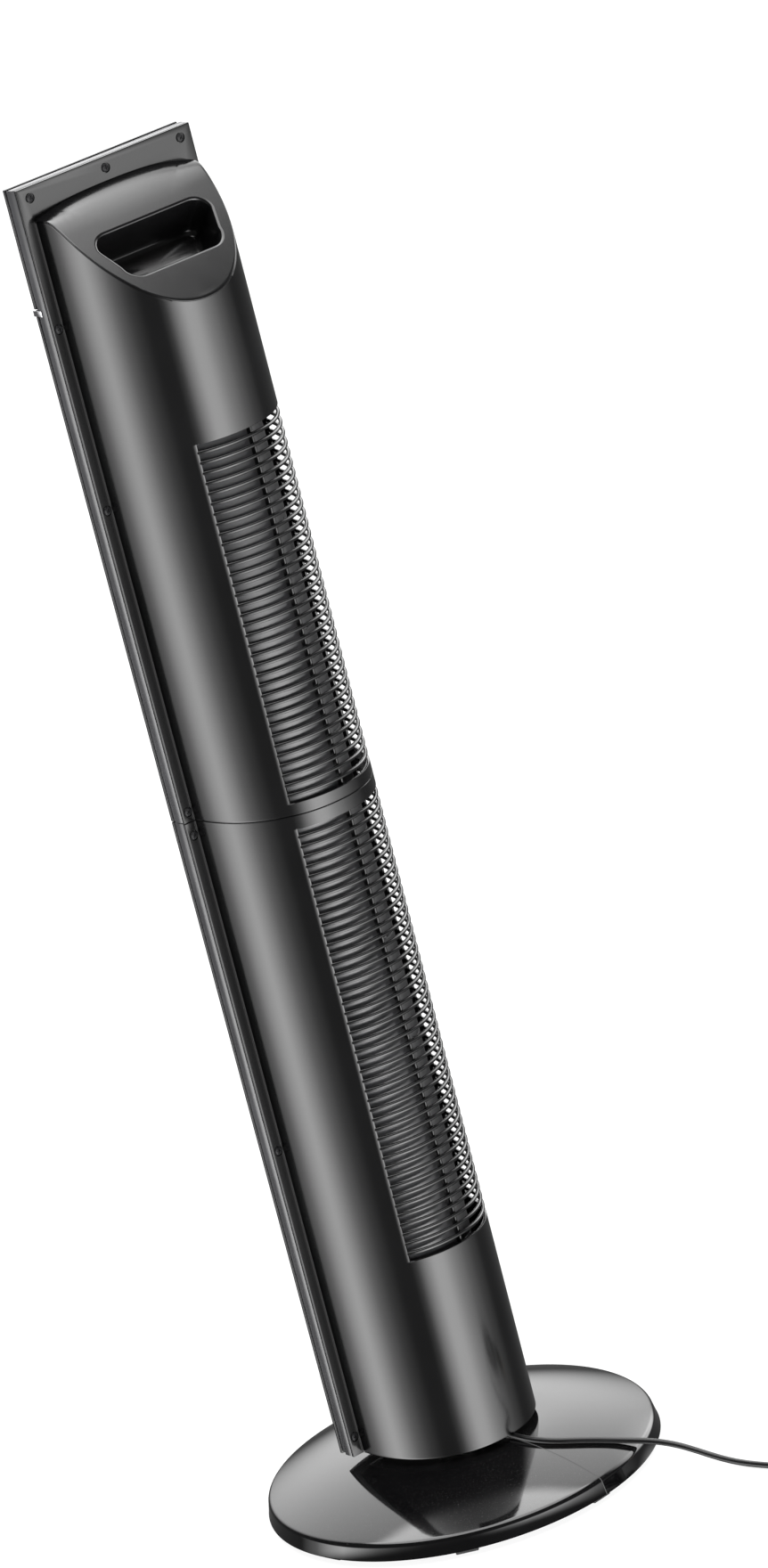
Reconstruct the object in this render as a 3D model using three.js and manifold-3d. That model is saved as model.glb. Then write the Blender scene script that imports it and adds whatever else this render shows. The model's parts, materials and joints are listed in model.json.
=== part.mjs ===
// Tower fan on a round base, millimetres, +Z up, origin on the floor under the middle of the base.
// The front, where the air comes out, faces -Y; the half-round rear shell faces +Y.
import * as THREE from 'three';
import { mergeVertices } from 'three/addons/utils/BufferGeometryUtils.js';
import Module from 'manifold-3d';

const wasm = await Module();
wasm.setup();

// ---- driving dimensions -------------------------------------------------------------------------

const gap = 0.3;                    // play between pieces that touch

// base
const baseRadius = 157.4;           // foot of the rim
const baseRimInset = 2.4;           // the rim leans in by this much towards its top
const baseRimTop = 17.5;            // height of the rim's upper edge
const baseRimFoot = 4.6;            // height of the rim's lower edge
const baseTop = 39.5;               // flat middle of the dome
const baseFlatRadius = 60;          // where the dome starts to fall
const domePower = 1.8;              // how the dome's fall steepens
const baseWall = 2.5;
const domeEdge = 3;                 // the dome ends this far inside the rim, where the rim's rounding starts
const domeWallShift = 0.6;          // inner face of the dome stands back by this much
const rimDrop = 1.2;                // height of the rim's rounding
const baseTurn = 8;                 // degrees from the tower's rest direction to the base's own axis
const footCount = 8;
const footHeight = 4.7;
const footLength = 18;
const footWidth = 10;
const footInset = 6.4;              // from the rim's foot to a foot's outer face
const plateBottom = 5;
const plateThickness = 3;
const plateInset = 3;               // from the cover's inside to the weight plate's edge

// pivot and swing drive
const hubRadius = 17;
const hubWall = 5;
const hubRise = 18.5;               // hub above the flat of the dome
const hubFlangeWidth = 20;
const hubFlangeThickness = 3;
const bearingPlay = 0.4;
const washerWidth = 8.4;
const washerPlay = 1;               // washer's bore to the hub
const panRise = 7.5;                // underside of the tower's pan above the dome
const panThickness = 2.5;
const panCollarWall = 4;
const gearModule = 1.5;
const fixedTeeth = 32;
const pinionTeeth = 8;
const gearThickness = 4.9;
const gearFlangeWidth = 6;
const gearFlangeThickness = 2.8;
const toothRootHalf = 0.30;         // half of a tooth at its root and at its tip, in shares of the pitch
const toothTipHalf = 0.11;
const toothDepth = 1.15;            // below and above the pitch circle, in modules
const toothHeight = 0.75;
const spindleRadius = 1.8;
const spindleReach = 4;             // into the swing motor
const swingMotorRadius = 24;
const swingMotorHeight = 18;
const swingMotorBore = 2.4;
const swingMotorBoreDepth = 5;
const bracketThickness = 2.2;
const bracketRoom = 1.5;            // gear to bracket
const bracketLegOffset = 8;         // hub to the inside of a leg
const bracketLegWidth = 4;
const bracketFront = 14;
const bracketRear = 40;
const bracketLegRear = 34;
const bracketHole = 3.2;

// tower body
const towerTop = 1080;
const towerBottom = 45.5;
const towerWidth = 160;
const seamHeight = 578;             // where upper and lower housings meet
const flangeFace = -24.3;           // rear face of the flange, the plane the rear shell grows from
const flangeThickness = 2.5;
const flangeMargin = 9.7;           // flange beside the rear shell
const shellWall = 2.8;
const shellPower = 2.14;            // plan of the shell: 2 is an ellipse, more is squarer
const shellSegments = 12;
const frameDepth = 12.4;            // front frame, front to back
const fasciaThickness = 2.8;        // panels in front of the frame
const frameWall = 3;
const frameWeb = 2;                 // front wall of the frame
const frameOpeningMargin = 3;       // the frame's opening is larger than the outlet's on each side

// intake window in the rear shell
const windowTop = 203;              // down from the top of the tower
const windowBottom = 203;           // height of its lower edge
const windowStart = 61;             // degrees round the shell from its +X edge
const windowEnd = 168;
const slatPitch = 8.02;
const slotHeight = 4.6;
const seamBand = 5;                 // solid band on each side of the housing seam
const slotOverrun = 3;              // the cutter of a slot passes the wall on both sides

// air outlet
const outletSide = 23;              // from the tower's side to the outlet opening
const outletBottom = 100;
const outletTop = 108;              // down from the top of the tower
const outletBars = 9;
const barThickness = 2.4;
const barDepth = 8;
const crossBarSpaces = 2;           // openings between the level bars of one grille
const crossBarHeight = 3;
const crossBarFront = 1;            // behind the fascia's face
const crossBarBack = 5;
const outletSeam = 4;               // from the housing seam to the outlet's edge

// controls
const trimHeight = 4.7;
const trimTop = 93;                 // down from the top of the tower
const trimProud = 0.4;              // the strip stands out from the fascia
const trimWrap = 7;                 // its ends turn back along the frame's sides by this much
const trimWrapThickness = 0.8;
const buttonRadius = 6;
const buttonProud = 1.2;
const buttonCollar = 1.6;           // wider than the cap, so that it stays behind the panel
const buttonCollarBack = 1.5;
const buttonTravel = 1;
const buttonSpacing = 24;
const buttonDrop = 66;              // down from the top of the tower
const displayDrop = 36;
const displayHalfWidth = 26;
const displayHalfHeight = 9;
const displaySunk = 0.4;
const panelHoleHalf = 56;           // opening in the frame behind the control panel
const panelHoleFoot = 78;
const panelHoleHead = 20;
const boardHalf = 52;
const boardFoot = 76;
const boardHead = 22;
const boardThickness = 1.6;
const boardRoom = 1.5;              // behind a pressed button
const buttonNames = ['power', 'speed', 'swing', 'timer'];

// air path
const impellerRadius = 38;
const impellerOffset = -6;          // impeller axis towards -X
const ductRoom = 18;                // shell depth beyond the impeller's diameter
const ductClearance = 4;            // impeller to duct wall at its nearest
const ductWall = 2;
const scrollStart = 95;             // degrees round the impeller where the curved wall starts
const scrollMargin = 8;             // from the curved wall's end to the shell
const tongueAngles = [188, 196, 204];
const shellToDuct = 6.4;            // room behind the duct, for the shell's curve
const bladeCount = 14;
const bladeThickness = 1.1;
const bladeLength = 11;
const bladeLean = 28;               // degrees from straight outwards
const bladeInset = 0.6;             // blade's tip inside the disc's edge
const discSpacing = 170;
const discThickness = 2;
const shaftRadius = 4;
const shaftSunk = 20;               // below the top of the motor
const shaftReach = 2;               // into the impeller's boss
const bossRadius = 9;
const bossHeight = 6;
const bearingRadius = 9;
const bearingBelow = 2;             // bearing under and over the top plate's underside
const bearingAbove = 5;
const bearingPinRise = 7;
const ductPlateThickness = 2.5;
const motorRadius = 40;
const motorHeight = 62;
const motorChamfer = 4;
const motorShoulder = 6;
const motorBoreDepth = 24;
const motorPlateDrop = 15;          // under the intake window
const ductTopRise = 3;              // over the intake window
const impellerRise = 10;            // over the duct's foot
const impellerDrop = 6;             // under the duct's top

// handle
const handleLevel = 33;             // the sloping face passes this far under the tower's top at y = 0
const handleWall = 2.5;
const handleRoundOff = 29.3;        // the slope eases off over this length before the flange
const handleEase = 8;               // and by this height
const archDrop = 16.5;              // crest of the arched front part, down from the tower's top
const archFall = 9;                 // fall of the arch at the shell's side
const flangeHead = 40;              // full width of the flange beside the handle, down from the top
const pocketWidth = 102;
const pocketLength = 43;
const pocketDepth = 34;
const pocketCentre = 29;            // y of the pocket's middle on the slope
const pocketCorner = 12;
const pocketNarrowing = 7;          // the lower lip is shorter than the upper edge, at each end
const pocketWall = 2;

// screws
const screwInset = 5.5;             // from the tower's edge to the screw's centre
const screwRadius = 1.5;
const screwHead = 3.4;
const screwHeadHeight = 1.5;
const screwHeadSink = 0.9;          // under the flange's face
const screwSeatDepth = 1.2;
const screwLength = 11;
const screwLevels = [61, 305, 567, 586]; // heights on each side
const screwDrops = [251.7, 108.8];  // heights of the upper ones, down from the top
const topScrewDrop = 8.6;
const topScrewInset = 5;            // further in than the ones on the sides
const postHalf = 3.4;               // half width of the posts that the screws bite into
const postBoreFront = 2.4;

// mains cord
const cordDiameter = 4.8;
const reliefStart = 40;             // from the base's middle to the root of the strain relief
const reliefLength = 23;
const reliefRadius = 3.2;
const reliefRootLength = 6;
const reliefRootRise = 6.2;         // over and under the dome's flat
const reliefRootSink = 6;
const reliefFall = 1.5;             // degrees
const floorPlay = 0.2;
const coilRadius = 27.9;            // middle of the turns
const coilAcross = 4;               // turns side by side
const coilLayers = 2;
const turnPitch = 4.9;
const plugLength = 35;
const plugWidth = 25;
const plugHeight = 13.6;
const plugPinLength = 19;
const plugPinRadius = 2;
const plugPinSpread = 9;
const plugNeckLength = 11;
const plugNeckRadius = 4.2;
const plugNeckHalf = 6;
const plugShoulder = 8;
const plugTaper = 9;
const plugCorner = 4;

// ---- sizes that follow ---------------------------------------------------------------------------

const shellHalf = towerWidth / 2 - flangeMargin;
const shellDepth = 2 * impellerRadius + ductRoom;
const flangeFront = flangeFace - flangeThickness;
const frameBack = flangeFront - gap;
const frameFront = frameBack - frameDepth;
const fasciaBack = frameFront - gap;
const fasciaFront = fasciaBack - fasciaThickness;
const innerHalf = shellHalf - shellWall;
const innerDepth = shellDepth - shellWall;
const rearInside = flangeFace + innerDepth;
const impellerY = rearInside - impellerRadius - ductClearance - ductWall - shellToDuct;
const outletHalf = towerWidth / 2 - outletSide;
const outletUpper = towerTop - outletTop;
const windowUpper = towerTop - windowTop;
const plateTop = plateBottom + plateThickness;
const hubTop = baseTop + hubRise;
const panBottom = baseTop + panRise;
const flangeBottom = hubTop + gap;
const gearBottom = flangeBottom + gearFlangeThickness;
const gearTop = gearBottom + gearThickness;
const pinionDistance = gearModule * (fixedTeeth + pinionTeeth) / 2;
const bracketBottom = gearTop + bracketRoom;
const swingMotorBottom = bracketBottom + bracketThickness + gap;
const motorPlateBottom = windowBottom - motorPlateDrop;
const ductBottom = motorPlateBottom + ductPlateThickness + gap;
const topPlateBottom = windowUpper + ductTopRise;
const ductTop = topPlateBottom - gap;
const impellerBottom = ductBottom + impellerRise;
const impellerTop = ductTop - impellerDrop;
const screwX = towerWidth / 2 - screwInset;
const boardFront = fasciaBack + buttonCollarBack + buttonTravel + boardRoom;
const buttonLevel = towerTop - buttonDrop;
const displayLevel = towerTop - displayDrop;

// ---- finishes ------------------------------------------------------------------------------------

const finishes = {
  glossBlack: [0x0a0a0b, 0.12, 0],
  satinBlack: [0x17171a, 0.35, 0],
  handleGrey: [0x232327, 0.55, 0],
  frameGrey: [0x3a3b3e, 0.4, 0],
  innerGrey: [0x4a4b4e, 0.6, 0],
  steel: [0x9a9ca0, 0.35, 1],
  blackScrew: [0x101012, 0.4, 0.6],
  chrome: [0xd8d8da, 0.12, 1],
  rubber: [0x0c0c0c, 0.85, 0],
  nylon: [0xe6e4dc, 0.5, 0],
  circuitGreen: [0x1d5a34, 0.5, 0],
  smokedClear: [0x1a0d0d, 0.08, 0],
  cordBlack: [0x121213, 0.6, 0],
};

const fan = new THREE.Group();

function add(name, geometry, finish, parent = fan) {
  const [color, roughness, metalness] = finishes[finish];
  const material = new THREE.MeshStandardMaterial({ color, roughness, metalness });
  const mesh = new THREE.Mesh(geometry, material);
  mesh.name = name;
  parent.add(mesh);
  return mesh;
}

// ---- solids --------------------------------------------------------------------------------------

function solid(geometry) {
  const bare = geometry.clone();
  bare.deleteAttribute('normal');
  bare.deleteAttribute('uv');
  const merged = mergeVertices(bare, 1e-4);
  return new wasm.Manifold(new wasm.Mesh({
    numProp: 3,
    vertProperties: new Float32Array(merged.attributes.position.array),
    triVerts: new Uint32Array(merged.index.array),
  }));
}

function geometryOf(body) {
  const mesh = body.getMesh();
  const geometry = new THREE.BufferGeometry();
  geometry.setAttribute('position', new THREE.BufferAttribute(new Float32Array(mesh.vertProperties), 3));
  geometry.setIndex(new THREE.BufferAttribute(new Uint32Array(mesh.triVerts), 1));
  return geometry;
}

function joined(bodies) {
  return bodies.reduce((sum, body) => sum.add(body));
}

function without(body, cutters) {
  return cutters.reduce((rest, cutter) => rest.subtract(cutter), body);
}

function box(x0, x1, y0, y1, z0, z1) {
  const geometry = new THREE.BoxGeometry(x1 - x0, y1 - y0, z1 - z0);
  geometry.translate((x0 + x1) / 2, (y0 + y1) / 2, (z0 + z1) / 2);
  return solid(geometry);
}

// a plan outline, raised from z0 to z1
function raised(outline, z0, z1) {
  const shape = new THREE.Shape(outline.map(([x, y]) => new THREE.Vector2(x, y)));
  const geometry = new THREE.ExtrudeGeometry(shape, { depth: z1 - z0, bevelEnabled: false });
  geometry.translate(0, 0, z0);
  return solid(geometry);
}

// a closed (radius, height) profile, turned about the upright line through (x, y)
function turned(profile, segments, x = 0, y = 0) {
  const points = profile.map(([radius, height]) => new THREE.Vector2(radius, height));
  points.push(points[0].clone());
  const geometry = new THREE.LatheGeometry(points, segments);
  geometry.rotateX(Math.PI / 2);
  geometry.translate(x, y, 0);
  return solid(geometry);
}

function ring(outer, inner, z0, z1, segments, x = 0, y = 0) {
  return turned([[inner, z0], [outer, z0], [outer, z1], [inner, z1]], segments, x, y);
}

function disc(radius, z0, z1, segments, x = 0, y = 0) {
  const geometry = new THREE.CylinderGeometry(radius, radius, z1 - z0, segments);
  geometry.rotateX(Math.PI / 2);
  geometry.translate(x, y, (z0 + z1) / 2);
  return solid(geometry);
}

// a round bar along Y
function pinY(radius, y0, y1, x, z, segments = 12) {
  const geometry = new THREE.CylinderGeometry(radius, radius, y1 - y0, segments);
  geometry.translate(x, (y0 + y1) / 2, z);
  return solid(geometry);
}

function degrees(angle) {
  return angle * Math.PI / 180;
}

// a point at a radius and an angle about the base's own axis
function onBase(radius, angle) {
  const turn = degrees(90 + baseTurn + angle);
  return [radius * Math.cos(turn), radius * Math.sin(turn)];
}

// ---- outlines ------------------------------------------------------------------------------------

// point on the rear shell's plan, drawn in by an inset; 0 is the +X edge, 90 the rear, 180 the -X edge
function shellPoint(angle, inset = 0) {
  const turn = degrees(angle);
  const share = 2 / shellPower;
  const across = Math.cos(turn);
  const x = Math.sign(across) * Math.abs(across) ** share * (shellHalf - inset);
  const y = flangeFace + Math.abs(Math.sin(turn)) ** share * (shellDepth - inset);
  return [Math.abs(x) < 1e-9 ? 0 : x, y];
}

function shellArc(start, end, inset = 0, segments = shellSegments) {
  const points = [];
  for (let step = 0; step <= segments; step += 1) {
    points.push(shellPoint(start + (end - start) * step / segments, inset));
  }
  return points;
}

// everything inside the rear shell, with straight sides forward into the front frame
function interiorOutline(inset, front) {
  const half = innerHalf - inset;
  return [[-half, front], [half, front], ...shellArc(0, 180, shellWall + inset)];
}

// wall of even thickness along a line of points
function wallOutline(line, thickness) {
  const sides = [[], []];
  line.forEach((point, index) => {
    const before = line[Math.max(index - 1, 0)];
    const after = line[Math.min(index + 1, line.length - 1)];
    const length = Math.hypot(after[0] - before[0], after[1] - before[1]);
    const normal = [-(after[1] - before[1]) / length, (after[0] - before[0]) / length];
    sides[0].push([point[0] + normal[0] * thickness / 2, point[1] + normal[1] * thickness / 2]);
    sides[1].unshift([point[0] - normal[0] * thickness / 2, point[1] - normal[1] * thickness / 2]);
  });
  return [...sides[0], ...sides[1]];
}

// ---- base ----------------------------------------------------------------------------------------

function domeHeight(radius) {
  const rim = baseRadius - baseRimInset;
  const share = Math.min(Math.max((radius - baseFlatRadius) / (rim - baseFlatRadius), 0), 1);
  return baseTop - (baseTop - baseRimTop) * share ** domePower;
}

function baseProfile() {
  const rim = baseRadius - baseRimInset;
  const hole = hubRadius + 2 * gap;
  const steps = 6;
  const outer = [[hole, baseTop]];
  const inner = [];
  for (let step = 0; step <= steps; step += 1) {
    const radius = baseFlatRadius + (rim - domeEdge - baseFlatRadius) * step / steps;
    outer.push([radius, domeHeight(radius)]);
    inner.unshift([radius - domeWallShift, domeHeight(radius) - baseWall]);
  }
  outer.push([rim, domeHeight(rim) - rimDrop], [baseRadius, baseRimFoot]);
  return [...outer, [baseRadius - baseWall, baseRimFoot], ...inner, [hole, baseTop - baseWall]].reverse();
}

function makeBaseCovers() {
  const rootSeat = geometryOf(reliefRoot(gap));
  rootSeat.applyMatrix4(reliefPlace());
  const whole = turned(baseProfile(), 36).subtract(solid(rootSeat));
  const reach = baseRadius + 10;
  const turn = new THREE.Matrix4().makeRotationZ(degrees(baseTurn));
  [['base_cover_left', -reach, -gap / 2], ['base_cover_right', gap / 2, reach]].forEach(([name, x0, x1]) => {
    const half = new THREE.BoxGeometry(x1 - x0, 2 * reach, baseTop + 10);
    half.translate((x0 + x1) / 2, 0, baseTop / 2);
    half.applyMatrix4(turn);
    add(name, geometryOf(whole.intersect(solid(half))), 'glossBlack');
  });
}

function makeBaseInside() {
  const edge = baseRadius - baseWall - plateInset;
  add('base_weight_plate', geometryOf(disc(edge, plateBottom, plateTop, 48)), 'steel');
  const hubFoot = plateTop + gap;
  const bore = hubRadius - hubWall;
  const hubEdge = hubRadius + hubFlangeWidth;
  const hubShoulder = hubFoot + hubFlangeThickness;
  const hub = turned([[bore, hubFoot], [hubEdge, hubFoot], [hubEdge, hubShoulder],
    [hubRadius, hubShoulder], [hubRadius, hubTop], [bore, hubTop]], 32);
  add('base_hub', geometryOf(hub), 'satinBlack');
  const washerBore = hubRadius + washerPlay;
  const washer = ring(washerBore + washerWidth, washerBore, baseTop + gap, panBottom - gap, 32);
  add('turntable_washer', geometryOf(washer), 'nylon');
}

function makeFeet() {
  const outer = baseRadius - footInset;
  for (let index = 0; index < footCount; index += 1) {
    const foot = new THREE.BoxGeometry(footLength, footWidth, footHeight);
    foot.translate(0, outer - footWidth / 2, footHeight / 2);
    foot.rotateZ(degrees(baseTurn + index * 360 / footCount));
    add(`base_foot_${index + 1}`, foot, 'rubber');
  }
}

// ---- pivot and swing drive -----------------------------------------------------------------------

// teeth with straight flanks, slim enough to roll past each other
function gearOutline(teeth, phase) {
  const pitchRadius = gearModule * teeth / 2;
  const pitchAngle = 2 * Math.PI / teeth;
  const corners = [[-toothRootHalf, -toothDepth], [-toothTipHalf, toothHeight],
    [toothTipHalf, toothHeight], [toothRootHalf, -toothDepth]];
  const points = [];
  for (let tooth = 0; tooth < teeth; tooth += 1) {
    corners.forEach(([share, rise]) => {
      const angle = phase + (tooth + share) * pitchAngle;
      const radius = pitchRadius + rise * gearModule;
      points.push([radius * Math.cos(angle), radius * Math.sin(angle)]);
    });
  }
  return points;
}

function makeSwingDrive() {
  const bore = hubRadius - hubWall;
  const flange = disc(hubRadius + gearFlangeWidth, flangeBottom, gearBottom, 32);
  // a tooth of the fixed gear points at the pinion, which turns a gap towards it
  const gear = raised(gearOutline(fixedTeeth, Math.PI / 2), gearBottom - 0.5, gearTop);
  const hole = disc(bore, flangeBottom - 1, gearTop + 1, 32);
  add('fixed_gear', geometryOf(gear.add(flange).subtract(hole)), 'nylon');
  const pinionPhase = -Math.PI / 2 + Math.PI / pinionTeeth;
  const pinion = raised(gearOutline(pinionTeeth, pinionPhase), gearBottom + gap, gearTop - gap);
  const spindle = disc(spindleRadius, gearBottom + 1, swingMotorBottom + spindleReach, 12);
  const turning = new THREE.Group();
  turning.position.set(0, pinionDistance, 0);
  add('swing_pinion', geometryOf(pinion.add(spindle)), 'nylon', turning);
  fan.add(turning);
  const motorTop = swingMotorBottom + swingMotorHeight;
  const boreTop = swingMotorBottom + swingMotorBoreDepth;
  const motor = turned([[swingMotorBore, swingMotorBottom], [swingMotorRadius, swingMotorBottom],
    [swingMotorRadius, motorTop], [0, motorTop], [0, boreTop], [swingMotorBore, boreTop]], 28,
  0, pinionDistance);
  add('swing_motor', geometryOf(motor), 'steel');
  const legInside = hubRadius + bracketLegOffset;
  const legOutside = legInside + bracketLegWidth;
  const plate = box(-legOutside, legOutside, bracketFront, bracketRear, bracketBottom,
    bracketBottom + bracketThickness);
  const legs = [-1, 1].map((side) => {
    const [x0, x1] = side < 0 ? [-legOutside, -legInside] : [legInside, legOutside];
    return box(x0, x1, bracketFront, bracketLegRear, panBottom + panThickness + gap, bracketBottom + 1);
  });
  const opening = disc(bracketHole, bracketBottom - 1, bracketBottom + bracketThickness + 1, 16, 0,
    pinionDistance);
  add('swing_motor_bracket', geometryOf(without(joined([plate, ...legs]), [opening])), 'steel');
}

function makeBottomPan() {
  const plate = raised(interiorOutline(gap, frameBack + gap), panBottom, panBottom + panThickness);
  const collarInside = hubRadius + bearingPlay;
  const collar = disc(collarInside + panCollarWall, panBottom, hubTop - 1, 32);
  const hole = disc(collarInside, panBottom - 1, hubTop + 1, 32);
  add('bottom_pan', geometryOf(without(plate.add(collar), [hole])), 'satinBlack');
}

// ---- screws of the housing -----------------------------------------------------------------------

function housingScrewPlaces() {
  const levels = [...screwLevels, ...screwDrops.map((drop) => towerTop - drop)];
  const places = [];
  levels.forEach((level) => places.push([-screwX, level], [screwX, level]));
  const corner = towerTop - topScrewDrop;
  places.push([-screwX + topScrewInset, corner], [0, corner], [screwX - topScrewInset, corner]);
  return places;
}

function makeHousingScrews() {
  const head = flangeFace - screwHeadSink;
  housingScrewPlaces().forEach(([x, z], index) => {
    const profile = [[0, -screwLength], [screwRadius, -screwLength], [screwRadius, 0], [screwHead, 0],
      [screwHead * 0.8, screwHeadHeight], [0, screwHeadHeight]];
    const points = profile.map(([radius, rise]) => new THREE.Vector2(radius, rise));
    const screw = new THREE.LatheGeometry(points, 8);
    screw.translate(x, head, z);
    add(`housing_screw_${index + 1}`, screw, 'blackScrew');
  });
}

// holes and sunk seats in the flange for the screws between two heights
function flangeScrewCuts(low, high) {
  const cuts = [];
  housingScrewPlaces().filter(([, z]) => z > low && z < high).forEach(([x, z]) => {
    cuts.push(pinY(screwRadius + gap, flangeFront - 1, flangeFace + 1, x, z, 8));
    cuts.push(pinY(screwHead + 2 * gap, flangeFace - screwSeatDepth, flangeFace + 1, x, z));
  });
  return cuts;
}

// ---- rear shell ----------------------------------------------------------------------------------

// the handle's sloping face seen from the side, as [y, z] points; a drop lowers it
function handleSlope(drop) {
  const level = towerTop - handleLevel - drop;
  const points = [];
  for (let step = 0; step <= 4; step += 1) {
    const y = flangeFace + handleRoundOff * step / 4;
    points.push([y, level - y - handleEase * (1 - step / 4) ** 2]);
  }
  const rear = flangeFace + shellDepth + 20;
  points.push([rear, level - rear]);
  return points;
}

// all space under the handle's surface lowered by a drop, in front of a given rear limit
function underHandle(drop, front) {
  const slope = handleSlope(drop);
  const rear = slope[slope.length - 1];
  const floor = rear[1] - 60;       // well under everything the handle keeps
  const side = [[front, floor], [rear[0], floor], ...slope.reverse(), [front, slope[slope.length - 1][1]]];
  const half = shellHalf + 20;
  const shape = new THREE.Shape(side.map(([y, z]) => new THREE.Vector2(y, z)));
  const geometry = new THREE.ExtrudeGeometry(shape, { depth: 2 * half, bevelEnabled: false });
  geometry.applyMatrix4(new THREE.Matrix4().set(0, 0, 1, -half, 1, 0, 0, 0, 0, 1, 0, 0, 0, 0, 0, 1));
  const arch = [];
  const steps = 10;
  for (let step = 0; step <= steps; step += 1) {
    const across = -1 + 2 * step / steps;
    arch.push([across * half, towerTop - archDrop - drop - archFall * (across * half / shellHalf) ** 2]);
  }
  const archShape = new THREE.Shape([[-half, floor], ...arch, [half, floor]]
    .map(([x, z]) => new THREE.Vector2(x, z)));
  const archBody = new THREE.ExtrudeGeometry(archShape, { depth: rear[0] - front + 20, bevelEnabled: false });
  archBody.rotateX(Math.PI / 2);
  archBody.translate(0, rear[0] + 10, 0);
  return solid(geometry).intersect(solid(archBody));
}

function shellOutline() {
  const edge = towerWidth / 2;
  return [[-edge, flangeFront], [-edge, flangeFace], ...shellArc(180, 0), [edge, flangeFace],
    [edge, flangeFront], ...shellArc(0, 180, shellWall).map(([x, y], index, all) => (
      index === 0 || index === all.length - 1 ? [x, flangeFront] : [x, y]))];
}

// cutter for one intake slot between two angles round the shell
function slot(start, end, z0) {
  const segments = Math.max(2, Math.round((end - start) / 180 * shellSegments));
  const outline = [...shellArc(start, end, -slotOverrun, segments),
    ...shellArc(end, start, shellWall + slotOverrun, segments)];
  return raised(outline, z0, z0 + slotHeight);
}

function intakeSlots(low, high) {
  const count = Math.floor((high - low - (slatPitch - slotHeight)) / slatPitch);
  const first = low + (high - low - count * slatPitch + slatPitch - slotHeight) / 2;
  const slots = [];
  for (let index = 0; index < count; index += 1) {
    const z0 = first + index * slatPitch;
    slots.push(slot(windowStart, windowEnd, z0));
  }
  return slots;
}

function makeRearShells() {
  const lowerTop = seamHeight - gap / 2;
  const lower = raised(shellOutline(), towerBottom, lowerTop);
  const lowerCuts = [...intakeSlots(windowBottom, seamHeight - seamBand),
    ...flangeScrewCuts(towerBottom, seamHeight)];
  add('rear_shell_lower', geometryOf(without(lower, lowerCuts)), 'satinBlack');
  const upperBottom = seamHeight + gap / 2;
  const upper = raised(shellOutline(), upperBottom, towerTop);
  const behind = box(-shellHalf - 5, shellHalf + 5, flangeFace + 0.01, flangeFace + shellDepth + 5,
    towerTop - 150, towerTop + 5);
  const cutAway = behind.subtract(underHandle(handleWall * Math.SQRT2 + gap, flangeFace - 5));
  const edge = towerWidth / 2;
  const topStrip = box(-edge, edge, flangeFront, flangeFace, towerTop - flangeHead, towerTop);
  const upperCuts = [cutAway, ...intakeSlots(seamHeight + seamBand, windowUpper)];
  const body = without(upper, upperCuts).add(topStrip);
  add('rear_shell_upper', geometryOf(without(body, flangeScrewCuts(seamHeight, towerTop))), 'satinBlack');
}

// ---- handle --------------------------------------------------------------------------------------

// rounded pocket outline on the slope, grown by a margin; u runs across, v up the slope
function pocketOutline(margin) {
  const half = pocketWidth / 2 + margin;
  const reach = pocketLength / 2 + margin;
  const corner = pocketCorner + margin;
  const points = [];
  [[1, 1, 0], [-1, 1, 90], [-1, -1, 180], [1, -1, 270]].forEach(([sideU, sideV, from]) => {
    const narrow = sideV < 0 ? pocketNarrowing : 0;
    for (let step = 0; step <= 4; step += 1) {
      const angle = degrees(from + 90 * step / 4);
      points.push([sideU * (half - narrow - corner) + corner * Math.cos(angle),
        sideV * (reach - corner) + corner * Math.sin(angle)]);
    }
  });
  return points;
}

// a pocket-shaped block sunk from above the slope to a depth under it
function pocketBlock(margin, above, depth) {
  const shape = new THREE.Shape(pocketOutline(margin).map(([u, v]) => new THREE.Vector2(u, v)));
  const geometry = new THREE.ExtrudeGeometry(shape, { depth: above + depth, bevelEnabled: false });
  geometry.translate(0, 0, -depth);
  geometry.rotateZ(Math.PI);
  geometry.rotateX(-Math.PI / 4);
  geometry.translate(0, pocketCentre, towerTop - handleLevel - pocketCentre);
  return solid(geometry);
}

function makeHandle() {
  const front = flangeFace + gap;
  const outline = [[-shellHalf, front], [shellHalf, front], ...shellArc(0, 180).slice(1, -1)];
  const column = raised(outline, towerTop - 150, towerTop);
  const skin = column.intersect(underHandle(0, front - 5)).subtract(
    underHandle(handleWall * Math.SQRT2, front - 5));
  const cup = pocketBlock(pocketWall, -handleWall / 2, pocketDepth + pocketWall);
  const hollow = pocketBlock(0, 10, pocketDepth);
  add('handle_insert', geometryOf(skin.add(cup).subtract(hollow)), 'handleGrey');
}

// ---- front frame, outlet and controls ------------------------------------------------------------

function frameRing(low, high, closedEnds) {
  const edge = towerWidth / 2;
  const inside = edge - frameWall;
  const body = box(-edge, edge, frameFront, frameBack, low, high);
  const cavityLow = closedEnds.bottom ? low + frameWall : low - 1;
  const cavityHigh = closedEnds.top ? high - frameWall : high + 1;
  return body.subtract(box(-inside, inside, frameFront + frameWeb, frameBack + 1, cavityLow, cavityHigh));
}

// posts that the housing screws bite into, with their holes
function withPosts(frame, low, high) {
  const places = housingScrewPlaces().filter(([, z]) => z > low && z < high);
  const posts = places.map(([x, z]) => box(x - postHalf, x + postHalf, frameFront + 1, frameBack,
    z - postHalf, z + postHalf));
  const bore = screwRadius + gap;
  const holes = places.map(([x, z]) => pinY(bore, frameFront + postBoreFront, frameBack + 1, x, z, 8));
  const edge = towerWidth / 2;
  const limit = box(-edge, edge, frameFront, frameBack, low, high);
  return without(joined([frame, ...posts]).intersect(limit), holes);
}

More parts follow.
